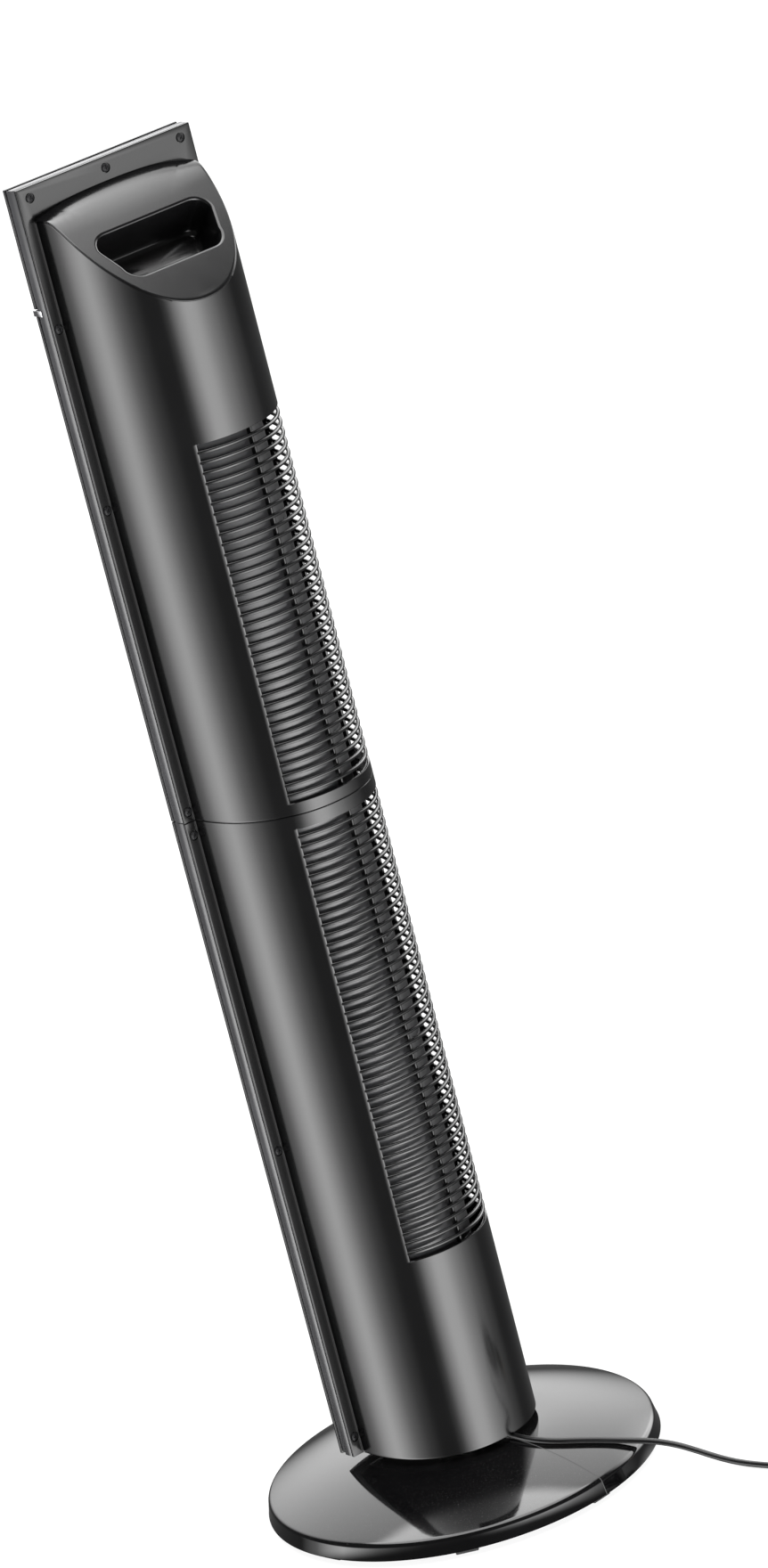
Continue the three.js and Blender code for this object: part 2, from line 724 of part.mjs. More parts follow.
function makeFrontFrames() {
  const opening = outletHalf + frameOpeningMargin;
  const split = gap / 2;
  const lower = frameRing(towerBottom, seamHeight - split, { bottom: true, top: false });
  const lowerHole = box(-opening, opening, frameFront - 1, frameBack + 1,
    outletBottom - frameOpeningMargin, seamHeight + 1);
  add('front_frame_lower', geometryOf(
    withPosts(lower.subtract(lowerHole), towerBottom, seamHeight - split)), 'frameGrey');
  const upper = frameRing(seamHeight + split, towerTop, { bottom: false, top: true });
  const upperHole = box(-opening, opening, frameFront - 1, frameBack + 1, seamHeight - 1,
    outletUpper + frameOpeningMargin);
  const panelHole = box(-panelHoleHalf, panelHoleHalf, frameFront - 1, frameBack + 1,
    towerTop - panelHoleFoot, towerTop - panelHoleHead);
  add('front_frame_upper', geometryOf(
    withPosts(without(upper, [upperHole, panelHole]), seamHeight + split, towerTop)), 'frameGrey');
}

function outletGrille(low, high, holeLow, holeHigh) {
  const edge = towerWidth / 2;
  const panel = box(-edge, edge, fasciaFront, fasciaBack, low, high);
  const opening = box(-outletHalf, outletHalf, fasciaFront - 1, fasciaBack + 1, holeLow, holeHigh);
  const bars = [];
  for (let index = 1; index <= outletBars; index += 1) {
    const x = -outletHalf + 2 * outletHalf * index / (outletBars + 1);
    const barLow = Math.max(holeLow - 1, low);
    const barHigh = Math.min(holeHigh + 1, high);
    bars.push(box(x - barThickness / 2, x + barThickness / 2, fasciaFront, fasciaFront + barDepth,
      barLow, barHigh));
  }
  for (let index = 0; index <= crossBarSpaces; index += 1) {
    const z = holeLow + (holeHigh - holeLow - crossBarHeight) * index / crossBarSpaces;
    bars.push(box(-outletHalf - 1, outletHalf + 1, fasciaFront + crossBarFront, fasciaFront + crossBarBack,
      z, z + crossBarHeight));
  }
  return joined([panel.subtract(opening), ...bars]);
}

function makeFascia() {
  const edge = towerWidth / 2;
  const trimUpper = towerTop - trimTop;
  const trimLower = trimUpper - trimHeight;
  const split = gap / 2;
  add('outlet_grille_lower', geometryOf(
    outletGrille(towerBottom, seamHeight - split, outletBottom, seamHeight - outletSeam)), 'glossBlack');
  add('outlet_grille_upper', geometryOf(
    outletGrille(seamHeight + split, trimLower - gap, seamHeight + outletSeam, outletUpper)), 'glossBlack');
  const trimEdge = edge + gap + trimWrapThickness;
  const trimFront = fasciaFront - trimProud;
  const strip = box(-trimEdge, trimEdge, trimFront, fasciaBack, trimLower, trimUpper);
  const wraps = [[-trimEdge, -edge - gap], [edge + gap, trimEdge]].map(([x0, x1]) => (
    box(x0, x1, trimFront, frameFront + trimWrap, trimLower, trimUpper)));
  add('trim_strip', geometryOf(joined([strip, ...wraps])), 'chrome');
  const panel = box(-edge, edge, fasciaFront, fasciaBack, trimUpper + gap, towerTop);
  const holes = buttonNames.map((name, index) => (
    pinY(buttonRadius + gap, fasciaFront - 1, fasciaBack + 1, buttonX(index), buttonLevel, 20)));
  const windowHole = box(-displayHalfWidth, displayHalfWidth, fasciaFront - 1, fasciaBack + 1,
    displayLevel - displayHalfHeight, displayLevel + displayHalfHeight);
  add('control_panel', geometryOf(without(panel, [...holes, windowHole])), 'glossBlack');
  add('display_window', geometryOf(box(-displayHalfWidth + gap, displayHalfWidth - gap,
    fasciaFront + displaySunk, fasciaBack, displayLevel - displayHalfHeight + gap,
    displayLevel + displayHalfHeight - gap)), 'smokedClear');
}

function buttonX(index) {
  return (index - (buttonNames.length - 1) / 2) * buttonSpacing;
}

function makeControls() {
  buttonNames.forEach((name, index) => {
    const x = buttonX(index);
    const cap = pinY(buttonRadius, fasciaFront - buttonProud, fasciaBack + 1.2, x, buttonLevel, 20);
    const collar = pinY(buttonRadius + buttonCollar, fasciaBack + gap, fasciaBack + buttonCollarBack,
      x, buttonLevel, 20);
    add(`button_${name}`, geometryOf(cap.add(collar)), 'satinBlack');
  });
  add('control_board', geometryOf(box(-boardHalf, boardHalf, boardFront, boardFront + boardThickness,
    towerTop - boardFoot, towerTop - boardHead)), 'circuitGreen');
}

// ---- air path ------------------------------------------------------------------------------------

// the duct's curved wall runs round the impeller from the rear to the outlet's +X side
function scrollLine() {
  const startRadius = impellerRadius + ductClearance + ductWall / 2;
  const endRadius = innerHalf - gap - ductWall - impellerOffset - scrollMargin;
  const points = [];
  const steps = 12;
  for (let step = 0; step <= steps; step += 1) {
    const angle = degrees(scrollStart * (1 - step / steps));
    const radius = startRadius + (endRadius - startRadius) * step / steps;
    points.push([impellerOffset + radius * Math.cos(angle), impellerY + radius * Math.sin(angle)]);
  }
  points.push([outletHalf + 1, frameBack], [outletHalf + 1, fasciaFront + barDepth + 1]);
  return points;
}

// the nose on the other side, close to the impeller, keeps the outgoing air from turning back
function tongueLine() {
  const radius = impellerRadius + ductClearance + ductWall / 2;
  const along = (angle) => [impellerOffset + radius * Math.cos(degrees(angle)),
    impellerY + radius * Math.sin(degrees(angle))];
  return [...tongueAngles.map(along), [-outletHalf - 1, frameBack],
    [-outletHalf - 1, fasciaFront + barDepth + 1]];
}

function makeDuct() {
  add('duct_scroll', geometryOf(raised(wallOutline(scrollLine(), ductWall), ductBottom, ductTop)), 'innerGrey');
  add('duct_tongue', geometryOf(raised(wallOutline(tongueLine(), ductWall), ductBottom, ductTop)), 'innerGrey');
  const outline = interiorOutline(gap, fasciaFront + barDepth + 1);
  const bottom = raised(outline, motorPlateBottom, motorPlateBottom + ductPlateThickness);
  const bottomHole = disc(bearingRadius, motorPlateBottom - 1, ductBottom, 20, impellerOffset, impellerY);
  add('motor_plate', geometryOf(bottom.subtract(bottomHole)), 'innerGrey');
  const top = raised(outline, topPlateBottom, topPlateBottom + ductPlateThickness);
  const topHole = disc(bearingRadius + gap, topPlateBottom - 1, topPlateBottom + 4, 20,
    impellerOffset, impellerY);
  add('duct_top_plate', geometryOf(top.subtract(topHole)), 'innerGrey');
  const bush = ring(bearingRadius, shaftRadius + bearingPlay, topPlateBottom - bearingBelow,
    topPlateBottom + bearingAbove, 20, impellerOffset, impellerY);
  add('top_bearing', geometryOf(bush), 'rubber');
}

function makeImpeller() {
  const height = impellerTop - impellerBottom;
  const discCount = Math.round(height / discSpacing);
  const pieces = [];
  for (let index = 0; index <= discCount; index += 1) {
    const z = impellerBottom + (height - discThickness) * index / discCount;
    const whole = index === 0 || index === discCount;
    pieces.push(whole ? disc(impellerRadius, z, z + discThickness, 24)
      : ring(impellerRadius, impellerRadius - bladeLength - 1, z, z + discThickness, 24));
  }
  for (let index = 0; index < bladeCount; index += 1) {
    const blade = new THREE.BoxGeometry(bladeLength, bladeThickness, height - 1);
    blade.rotateZ(degrees(bladeLean));
    blade.translate(impellerRadius - bladeLength / 2 - bladeInset, 0, impellerBottom + height / 2);
    blade.rotateZ(degrees((index + 0.5) * 360 / bladeCount));
    pieces.push(solid(blade));
  }
  pieces.push(disc(shaftRadius, impellerTop - 1, topPlateBottom + bearingPinRise, 16));
  pieces.push(disc(bossRadius, impellerBottom - bossHeight, impellerBottom + 1, 20));
  const bore = disc(shaftRadius + gap, impellerBottom - bossHeight - 2, impellerBottom + 3, 16);
  const turning = new THREE.Group();
  turning.position.set(impellerOffset, impellerY, 0);
  add('impeller', geometryOf(without(joined(pieces), [bore])), 'satinBlack', turning);
  const shaft = disc(shaftRadius, motorPlateBottom - shaftSunk, impellerBottom + shaftReach, 16);
  add('motor_shaft', geometryOf(shaft), 'steel', turning);
  fan.add(turning);
}

function makeMotor() {
  const top = motorPlateBottom - gap;
  const low = top - motorHeight;
  const bore = shaftRadius + bearingPlay;
  const profile = [[0, low], [motorRadius - motorChamfer, low], [motorRadius, low + motorChamfer],
    [motorRadius, top - motorShoulder], [motorRadius - motorShoulder, top], [bore, top],
    [bore, top - motorBoreDepth], [0, top - motorBoreDepth]];
  add('fan_motor', geometryOf(turned(profile, 32, impellerOffset, impellerY)), 'steel');
}

// ---- mains cord ----------------------------------------------------------------------------------

const cordRoute = [
  [-8.84, 62.9, 42.3], [-9.9, 70.6, 41.7], [-12.6, 80.5, 40.7], [-17.8, 90, 39.1], [-26, 99.5, 36.8],
  [-37, 108.5, 34.0], [-49, 117, 30.4], [-61, 125.5, 26.4], [-71, 133.5, 23.2], [-79, 141.5, 20.8],
  [-86.5, 151, 18.0], [-93, 161.5, 14.6], [-98.5, 173, 10.6], [-103, 185.5, 6.9], [-107, 199, 4.1],
  [-110.5, 213, 2.8], [-114, 227.5, 2.6], [-118.5, 242, 2.6], [-124.5, 256, 2.6], [-132.5, 269, 2.6],
  [-143, 280.5, 2.6], [-154.5, 289.5, 2.6],
];
const coilCentre = [-190.6, 270.5];
const coilLeaves = 200;             // degrees round the coil where the end goes to the plug

// the strain relief stands on the base, its root held between the two halves
function reliefPlace() {
  return new THREE.Matrix4().makeRotationZ(degrees(baseTurn));
}

function reliefRoot(margin) {
  const half = reliefRadius + 1 + margin;
  return box(-half, half, reliefStart - reliefRootLength - margin, reliefStart + margin,
    baseTop - reliefRootSink - margin, baseTop + reliefRootRise + margin);
}

function makeCordRelief() {
  const length = reliefLength + 1;
  const taper = new THREE.CylinderGeometry(cordDiameter / 2 + 0.3, reliefRadius, length, 12);
  taper.rotateX(degrees(-reliefFall));
  taper.translate(0, reliefStart - 1 + length / 2, baseTop + reliefRadius);
  const relief = geometryOf(reliefRoot(0).add(solid(taper)));
  relief.applyMatrix4(reliefPlace());
  add('cord_relief', relief, 'rubber');
}

function makeCord() {
  const points = cordRoute.map(([x, y, z]) => new THREE.Vector3(x, y, z));
  const path = new THREE.CatmullRomCurve3(points, false, 'centripetal');
  const sides = 8;
  const section = new THREE.Shape();
  for (let side = 0; side < sides; side += 1) {
    const angle = (side + 0.5) * 2 * Math.PI / sides;
    const method = side === 0 ? 'moveTo' : 'lineTo';
    section[method](cordDiameter / 2 * Math.cos(angle), cordDiameter / 2 * Math.sin(angle));
  }
  const tube = new THREE.ExtrudeGeometry(section, { steps: 28, extrudePath: path, bevelEnabled: false });
  add('cord_run', tube, 'cordBlack');
  const half = coilAcross * turnPitch / 2;
  const coil = ring(coilRadius + half, coilRadius - half, floorPlay, floorPlay + coilLayers * turnPitch, 32,
    ...coilCentre);
  add('cord_coil', geometryOf(coil), 'cordBlack');
}

// a flat two-pin plug lying on its side by the coil, drawn along +X from the coil's last turn
function makePlug() {
  const outerTurn = coilRadius + (coilAcross - 1) * turnPitch / 2;
  const outside = coilRadius + coilAcross * turnPitch / 2 + gap;
  const neck = cordDiameter / 2 + 0.1;
  const tip = Math.sqrt(outside ** 2 - (outerTurn - neck) ** 2);
  const middle = floorPlay + plugHeight / 2;
  const start = tip + plugNeckLength;
  const end = start + plugLength;
  const wide = plugWidth / 2;
  const outline = [[start, -plugNeckHalf], [start + plugShoulder, -wide], [end - plugTaper, -wide],
    [end, -wide + plugCorner], [end, wide - plugCorner], [end - plugTaper, wide],
    [start + plugShoulder, wide], [start, plugNeckHalf]];
  const sleeve = new THREE.CylinderGeometry(plugNeckRadius, neck, plugNeckLength + 1, 10);
  sleeve.rotateZ(-Math.PI / 2);
  sleeve.translate(tip + (plugNeckLength + 1) / 2, 0, middle);
  const pins = [-1, 1].map((side) => {
    const pin = new THREE.CylinderGeometry(plugPinRadius, plugPinRadius, plugPinLength + 1, 10);
    pin.rotateZ(-Math.PI / 2);
    pin.translate(end - 1 + (plugPinLength + 1) / 2, side * plugPinSpread, middle);
    return solid(pin);
  });
  const body = joined([raised(outline, floorPlay, floorPlay + plugHeight), solid(sleeve), ...pins]);
  const plug = geometryOf(body);
  plug.translate(0, -outerTurn, 0);
  plug.rotateZ(degrees(coilLeaves + 90));
  plug.translate(...coilCentre, 0);
  add('mains_plug', plug, 'cordBlack');
}

makeBaseCovers();
makeBaseInside();
makeFeet();
makeSwingDrive();
makeBottomPan();
makeRearShells();
makeHousingScrews();
makeHandle();
makeFrontFrames();
makeFascia();
makeControls();
makeDuct();
makeImpeller();
makeMotor();
makeCordRelief();
makeCord();
makePlug();

export default fan;
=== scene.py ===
import json
import math

import bmesh
import bpy
from mathutils import Matrix, Vector


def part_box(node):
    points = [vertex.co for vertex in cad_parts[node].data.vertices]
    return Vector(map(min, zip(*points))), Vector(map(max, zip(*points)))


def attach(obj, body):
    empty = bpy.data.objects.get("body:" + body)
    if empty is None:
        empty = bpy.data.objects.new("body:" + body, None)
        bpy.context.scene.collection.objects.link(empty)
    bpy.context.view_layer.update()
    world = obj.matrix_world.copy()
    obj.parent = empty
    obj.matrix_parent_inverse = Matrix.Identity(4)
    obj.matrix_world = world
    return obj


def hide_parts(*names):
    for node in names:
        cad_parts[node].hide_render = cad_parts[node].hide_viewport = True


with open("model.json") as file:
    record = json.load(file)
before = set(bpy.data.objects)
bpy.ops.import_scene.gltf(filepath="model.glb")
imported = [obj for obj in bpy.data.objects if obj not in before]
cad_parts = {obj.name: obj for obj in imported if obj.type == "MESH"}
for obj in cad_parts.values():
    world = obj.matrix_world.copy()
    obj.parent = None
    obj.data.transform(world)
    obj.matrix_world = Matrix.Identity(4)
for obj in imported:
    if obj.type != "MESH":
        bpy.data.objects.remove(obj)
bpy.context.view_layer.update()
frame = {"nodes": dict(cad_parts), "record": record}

# Tower fan on a round base. Shapes below are written in millimetres and made in metres.
mm = 0.001
slotOf = {row["node"]: row["material_slot"] for row in frame["record"]["subparts"]}
bodyOf = {node: body for body, nodes in frame["record"]["behaviour"]["bodies"].items() for node in nodes}


def boxOf(node):
    low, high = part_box(node)
    return [value / mm for value in low], [value / mm for value in high]


# turned pieces end this close to their axis
nearAxis = 0.05


def polar(radius, angle):
    turn = math.radians(angle)
    return radius * math.cos(turn), radius * math.sin(turn)


def circle(radius, count):
    return [polar(radius, 360 * k / count) for k in range(count)]


# the camera looks at the fan's back from above, with a roll
cameraSetting = {"place": (2.63568, 4.27128, 2.14519), "azimuth": 147.497, "elevation": 17.501,
                 "roll": -14.443, "lens": 159.72, "sensor": 36.0}


def makeCamera(setting):
    azimuth, elevation = math.radians(setting["azimuth"]), math.radians(setting["elevation"])
    back = Vector((math.sin(azimuth) * math.cos(elevation), -math.cos(azimuth) * math.cos(elevation),
                   math.sin(elevation)))
    level = Vector((0, 0, 1)).cross(back).normalized()
    rise = back.cross(level)
    roll = math.radians(setting["roll"])
    across = level * math.cos(roll) + rise * math.sin(roll)
    upright = rise * math.cos(roll) - level * math.sin(roll)
    data = bpy.data.cameras.new("fanCamera")
    data.lens, data.sensor_width = setting["lens"], setting["sensor"]
    camera = bpy.data.objects.new("fanCamera", data)
    camera.matrix_world = Matrix.Translation(setting["place"]) @ Matrix(
        (across, upright, back)).transposed().to_4x4()
    bpy.context.scene.collection.objects.link(camera)
    bpy.context.scene.camera = camera


makeCamera(cameraSetting)
print("camera set")


def addNode(tree, kind, at=(0, 0), inputs=None, **values):
    node = tree.nodes.new(kind)
    node.location = at
    for key, value in values.items():
        setattr(node, key, value)
    for name, value in (inputs or {}).items():
        node.inputs[name].default_value = value
    return node


def mapNode(tree, at, source, target=(0, 1), kind="LINEAR"):
    ends = dict(zip(("From Min", "From Max", "To Min", "To Max"), (*source, *target)))
    return addNode(tree, "ShaderNodeMapRange", at, ends, interpolation_type=kind)


def wire(tree, *rows):
    # each row: a node and its output, a node and its input
    for source, output, target, entry in rows:
        tree.links.new(source.outputs[output], target.inputs[entry])


def socketsOf(tree, inputs, outputs):
    for name, kind, value in inputs:
        socket = tree.interface.new_socket(name, in_out="INPUT", socket_type=kind)
        if value is not None:
            socket.default_value = value
    for name, kind in outputs:
        tree.interface.new_socket(name, in_out="OUTPUT", socket_type=kind)


def makeMouldedGroup():
    # grain of the mould, slow haze from handling, and dust that settles on what faces up
    group = bpy.data.node_groups.new("mouldedSurface", "ShaderNodeTree")
    socketsOf(group, [("Grain Scale", "NodeSocketFloat", 900.0), ("Grain Depth", "NodeSocketFloat", 0.1),
                      ("Haze Scale", "NodeSocketFloat", 9.0), ("Stretch", "NodeSocketVector", (1, 1, 1)),
                      ("Dust Amount", "NodeSocketFloat", 0.2)],
              [("Haze", "NodeSocketFloat"), ("Dust", "NodeSocketFloat"), ("Normal", "NodeSocketVector")])
    enter = addNode(group, "NodeGroupInput", (-900, 0))
    leave = addNode(group, "NodeGroupOutput", (700, 0))
    place = addNode(group, "ShaderNodeTexCoord", (-900, 300))
    stretch = addNode(group, "ShaderNodeVectorMath", (-700, 200), operation="MULTIPLY")
    grain = addNode(group, "ShaderNodeTexNoise", (-450, 250), {"Detail": 3})
    haze = addNode(group, "ShaderNodeTexNoise", (-450, 0), {"Detail": 4})
    specks = addNode(group, "ShaderNodeTexNoise", (-450, -260), {"Scale": 1400})
    bump = addNode(group, "ShaderNodeBump", (350, 250), {"Distance": 0.0002})
    facing = addNode(group, "ShaderNodeNewGeometry", (-450, -520))
    upward = addNode(group, "ShaderNodeSeparateXYZ", (-250, -520))
    hazeMask = mapNode(group, (-200, 0), (0.35, 0.68))
    speckMask = mapNode(group, (-200, -260), (0.62, 0.72))
    dustUp = mapNode(group, (-50, -520), (0.2, 0.95))
    dusty = addNode(group, "ShaderNodeMath", (150, -320), operation="MULTIPLY")
    dustAmount = addNode(group, "ShaderNodeMath", (350, -320), operation="MULTIPLY")
    wire(group,
         (place, "Object", stretch, 0), (enter, "Stretch", stretch, 1), (stretch, 0, grain, "Vector"),
         (place, "Object", haze, "Vector"), (place, "Object", specks, "Vector"),
         (enter, "Grain Scale", grain, "Scale"), (enter, "Haze Scale", haze, "Scale"),
         (enter, "Grain Depth", bump, "Strength"), (grain, "Fac", bump, "Height"),
         (haze, "Fac", hazeMask, "Value"), (specks, "Fac", speckMask, "Value"),
         (facing, "Normal", upward, 0), (upward, "Z", dustUp, "Value"),
         (speckMask, 0, dusty, 0), (dustUp, 0, dusty, 1),
         (dusty, 0, dustAmount, 0), (enter, "Dust Amount", dustAmount, 1),
         (hazeMask, 0, leave, "Haze"), (dustAmount, 0, leave, "Dust"), (bump, 0, leave, "Normal"))
    return group


mouldedGroup = makeMouldedGroup()

# per slot: two close tones, roughness from clean to hazed, grain, dust, and what differs from plain plastic
finishes = {
    "base_gloss": {"tones": ((0.0016, 0.0016, 0.0018), (0.003, 0.003, 0.0032)), "rough": (0.05, 0.09),
                   "grain": (260, 0.012), "haze": 14, "dust": 0.12},
    "shell_black": {"tones": ((0.0012, 0.0012, 0.0013), (0.0024, 0.0024, 0.0026)), "rough": (0.15, 0.185),
                    "grain": (1500, 0.05), "haze": 10, "dust": 0.1},
    "handle_grey": {"tones": ((0.0032, 0.0032, 0.0034), (0.005, 0.005, 0.0053)), "rough": (0.15, 0.18),
                    "grain": (1900, 0.05), "haze": 22, "dust": 0.05},
    "frame_grey": {"tones": ((0.055, 0.055, 0.058), (0.075, 0.075, 0.079)), "rough": (0.17, 0.22),
                   "grain": (1500, 0.06), "haze": 18, "dust": 0.1},
    "fascia_black": {"tones": ((0.005, 0.005, 0.006), (0.009, 0.009, 0.010)), "rough": (0.07, 0.13),
                     "grain": (400, 0.012), "haze": 16, "dust": 0.06},
    "trim_chrome": {"tones": ((0.80, 0.80, 0.82), (0.70, 0.70, 0.72)), "rough": (0.06, 0.14),
                    "grain": (900, 0.01), "haze": 40, "dust": 0.0, "metal": 1.0},
    "screw_black": {"tones": ((0.010, 0.010, 0.011), (0.022, 0.022, 0.023)), "rough": (0.28, 0.40),
                    "grain": (2200, 0.10), "haze": 300, "dust": 0.0, "specular": 0.12},
    "rubber_black": {"tones": ((0.010, 0.010, 0.010), (0.018, 0.018, 0.018)), "rough": (0.70, 0.85),
                     "grain": (1100, 0.25), "haze": 60, "dust": 0.3},
    "plate_steel": {"tones": ((0.030, 0.030, 0.032), (0.045, 0.045, 0.047)), "rough": (0.5, 0.65),
                    "grain": (120, 0.15), "haze": 30, "dust": 0.0, "stretch": (1, 18, 1)},
    "motor_steel": {"tones": ((0.30, 0.31, 0.32), (0.24, 0.25, 0.26)), "rough": (0.35, 0.5),
                    "grain": (700, 0.12), "haze": 30, "dust": 0.2, "metal": 0.6},
    "nylon_white": {"tones": ((0.78, 0.76, 0.70), (0.70, 0.68, 0.62)), "rough": (0.42, 0.55),
                    "grain": (900, 0.08), "haze": 40, "dust": 0.1},
    "board_green": {"tones": ((0.02, 0.10, 0.045), (0.035, 0.17, 0.07)), "rough": (0.25, 0.5),
                    "grain": (500, 0.1), "haze": 120, "dust": 0.0, "stretch": (6, 1, 1)},
    "window_smoked": {"tones": ((0.010, 0.006, 0.006), (0.016, 0.010, 0.010)), "rough": (0.04, 0.08),
                      "grain": (300, 0.006), "haze": 30, "dust": 0.0},
    "cord_black": {"tones": ((0.003, 0.003, 0.0033), (0.006, 0.006, 0.0064)), "rough": (0.30, 0.38),
                   "grain": (1600, 0.06), "haze": 50, "dust": 0.04, "specular": 0.3},
    "button_satin": {"tones": ((0.020, 0.020, 0.022), (0.030, 0.030, 0.032)), "rough": (0.34, 0.46),
                     "grain": (1800, 0.10), "haze": 60, "dust": 0.05},
    "impeller_black": {"tones": ((0.014, 0.014, 0.015), (0.024, 0.024, 0.025)), "rough": (0.45, 0.6),
                       "grain": (900, 0.15), "haze": 40, "dust": 0.5},
    "inner_grey": {"tones": ((0.035, 0.035, 0.037), (0.055, 0.055, 0.058)), "rough": (0.17, 0.23),
                   "grain": (900, 0.08), "haze": 26, "dust": 0.2},
}
dustColour = (0.32, 0.31, 0.30, 1)


def makeFinish(name, setting):
    material = bpy.data.materials.new(name)
    material.use_nodes = True
    tree = material.node_tree
    shader = tree.nodes["Principled BSDF"]
    clean, hazed = setting["tones"]
    grainScale, grainDepth = setting["grain"]
    surface = addNode(tree, "ShaderNodeGroup", (-700, 0), node_tree=mouldedGroup)
    pair = {"A": (*clean, 1), "B": (*hazed, 1)}
    tones = addNode(tree, "ShaderNodeMix", (-400, 250), pair, data_type="RGBA")
    dusted = addNode(tree, "ShaderNodeMix", (-200, 250), {"B": dustColour}, data_type="RGBA")
    rough = mapNode(tree, (-400, -50), (0, 1), setting["rough"])
    for name, value in (("Grain Scale", grainScale), ("Grain Depth", grainDepth),
                        ("Haze Scale", setting["haze"]), ("Dust Amount", setting["dust"]),
                        ("Stretch", setting.get("stretch", (1, 1, 1)))):
        surface.inputs[name].default_value = value
    shader.inputs["Metallic"].default_value = setting.get("metal", 0.0)
    shader.inputs["Specular IOR Level"].default_value = setting.get("specular", 0.5)
    wire(tree,
         (surface, "Haze", tones, "Factor"), (tones, "Result", dusted, "A"),
         (surface, "Dust", dusted, "Factor"), (dusted, "Result", shader, "Base Color"),
         (surface, "Haze", rough, "Value"), (rough, 0, shader, "Roughness"),
         (surface, "Normal", shader, "Normal"))
    return material


materials = {name: makeFinish(name, setting) for name, setting in finishes.items()}
pinMetal = makeFinish("pin_metal", {"tones": ((0.70, 0.62, 0.46), (0.60, 0.52, 0.38)), "rough": (0.16, 0.3),
                                    "grain": (900, 0.03), "haze": 120, "dust": 0.0, "metal": 1.0})
print("finishes made")


def meshObject(name, points, faces):
    mesh = bpy.data.meshes.new(name)
    mesh.from_pydata([tuple(value * mm for value in point) for point in points], [], faces)
    made = bpy.data.objects.new(name, mesh)
    bpy.context.scene.collection.objects.link(made)
    work = bmesh.new()
    work.from_mesh(mesh)
    bmesh.ops.remove_doubles(work, verts=work.verts, dist=1e-7)
    bmesh.ops.recalc_face_normals(work, faces=work.faces)
    work.to_mesh(mesh)
    work.free()
    return made


def bake(made):
    # the modifiers' result becomes the piece's own mesh
    graph = bpy.context.evaluated_depsgraph_get()
    mesh = bpy.data.meshes.new_from_object(made.evaluated_get(graph))
    made.modifiers.clear()
    made.data = mesh
    return made


def bevelled(made, width, segments=2, angle=40):
    bevel = made.modifiers.new("edgeRound", "BEVEL")
    bevel.width, bevel.segments = width * mm, segments
    bevel.limit_method, bevel.angle_limit = "ANGLE", math.radians(angle)
    bevel.use_clamp_overlap = False
    return bake(made)


def carved(made, cutter, operation="DIFFERENCE"):
    change = made.modifiers.new("carve", "BOOLEAN")
    change.object, change.operation, change.solver = cutter, operation, "EXACT"
    bake(made)
    bpy.data.objects.remove(cutter)
    return made


def merged(name, parts):
    # several closed shapes as one piece
    work = bmesh.new()
    for part in parts:
        work.from_mesh(part.data)
        bpy.data.objects.remove(part)
    mesh = bpy.data.meshes.new(name)
    work.to_mesh(mesh)
    work.free()
    made = bpy.data.objects.new(name, mesh)
    bpy.context.scene.collection.objects.link(made)
    return made


def finished(made, *nodes, smooth=40, material=None, body=None):
    # shading, finish, body and the CAD nodes that the piece stands for
    made.data.shade_smooth()
    made.data.set_sharp_from_angle(angle=math.radians(smooth))
    slot = slotOf[nodes[0]] if nodes else None
    if material or not made.data.materials:
        made.data.materials.clear()
        made.data.materials.append(material or materials[slot])
    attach(made, body or bodyOf[nodes[0]])
    if slot and nodes:
        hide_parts(*nodes)
    return made


def blockOf(name, low, high):
    x0, y0, z0 = low
    x1, y1, z1 = high
    points = [(x, y, z) for z in (z0, z1) for y in (y0, y1) for x in (x0, x1)]
    faces = [(0, 1, 3, 2), (4, 6, 7, 5), (0, 4, 5, 1), (2, 3, 7, 6), (0, 2, 6, 4), (1, 5, 7, 3)]
    return meshObject(name, points, faces)


def prism(name, outline, axis, start, end):
    # an outline pushed along an axis; the outline's pair fills the other two axes in order
    def place(pair, depth):
        point = list(pair)
        point.insert(axis, depth)
        return point
    count = len(outline)
    points = [place(pair, start) for pair in outline] + [place(pair, end) for pair in outline]
    faces = [tuple(range(count)), tuple(range(2 * count - 1, count - 1, -1))]
    faces += [(k, (k + 1) % count, count + (k + 1) % count, count + k) for k in range(count)]
    return meshObject(name, points, faces)


def ringStack(name, rings, capped=True):
    # closed rings of the same count, one after another
    count = len(rings[0])
    points = [point for ring in rings for point in ring]
    faces = []
    for level in range(len(rings) - 1):
        for k in range(count):
            a, b = level * count + k, level * count + (k + 1) % count
            faces.append((a, b, b + count, a + count))
    if capped:
        last = (len(rings) - 1) * count
        faces += [tuple(range(count)), tuple(last + k for k in range(count - 1, -1, -1))]
    return meshObject(name, points, faces)


def turned(name, profile, steps, closed=False):
    # (radius, height) profile about the upright axis; the ends meet the axis, or the profile closes on itself
    rings = [[(x, y, height) for x, y in circle(radius, steps)] for radius, height in profile]
    if closed:
        rings.append(rings[0])
    return ringStack(name, rings, capped=not closed)


# what repeats is made by the three geometry node trees below
def newGeometryTree(name, inputs):
    tree = bpy.data.node_groups.new(name, "GeometryNodeTree")
    socketsOf(tree, [("Geometry", "NodeSocketGeometry", None), *inputs], [("Geometry", "NodeSocketGeometry")])
    return tree, addNode(tree, "NodeGroupInput", (-800, 0)), addNode(tree, "NodeGroupOutput", (800, 0))


def closeTree(tree, enter, leave, copies):
    realize = addNode(tree, "GeometryNodeRealizeInstances", (400, 0))
    paint = addNode(tree, "GeometryNodeSetMaterial", (600, 0))
    wire(tree, (copies, 0, realize, 0), (realize, 0, paint, "Geometry"), (enter, "Finish", paint, "Material"),
         (paint, 0, leave, 0))
    return tree


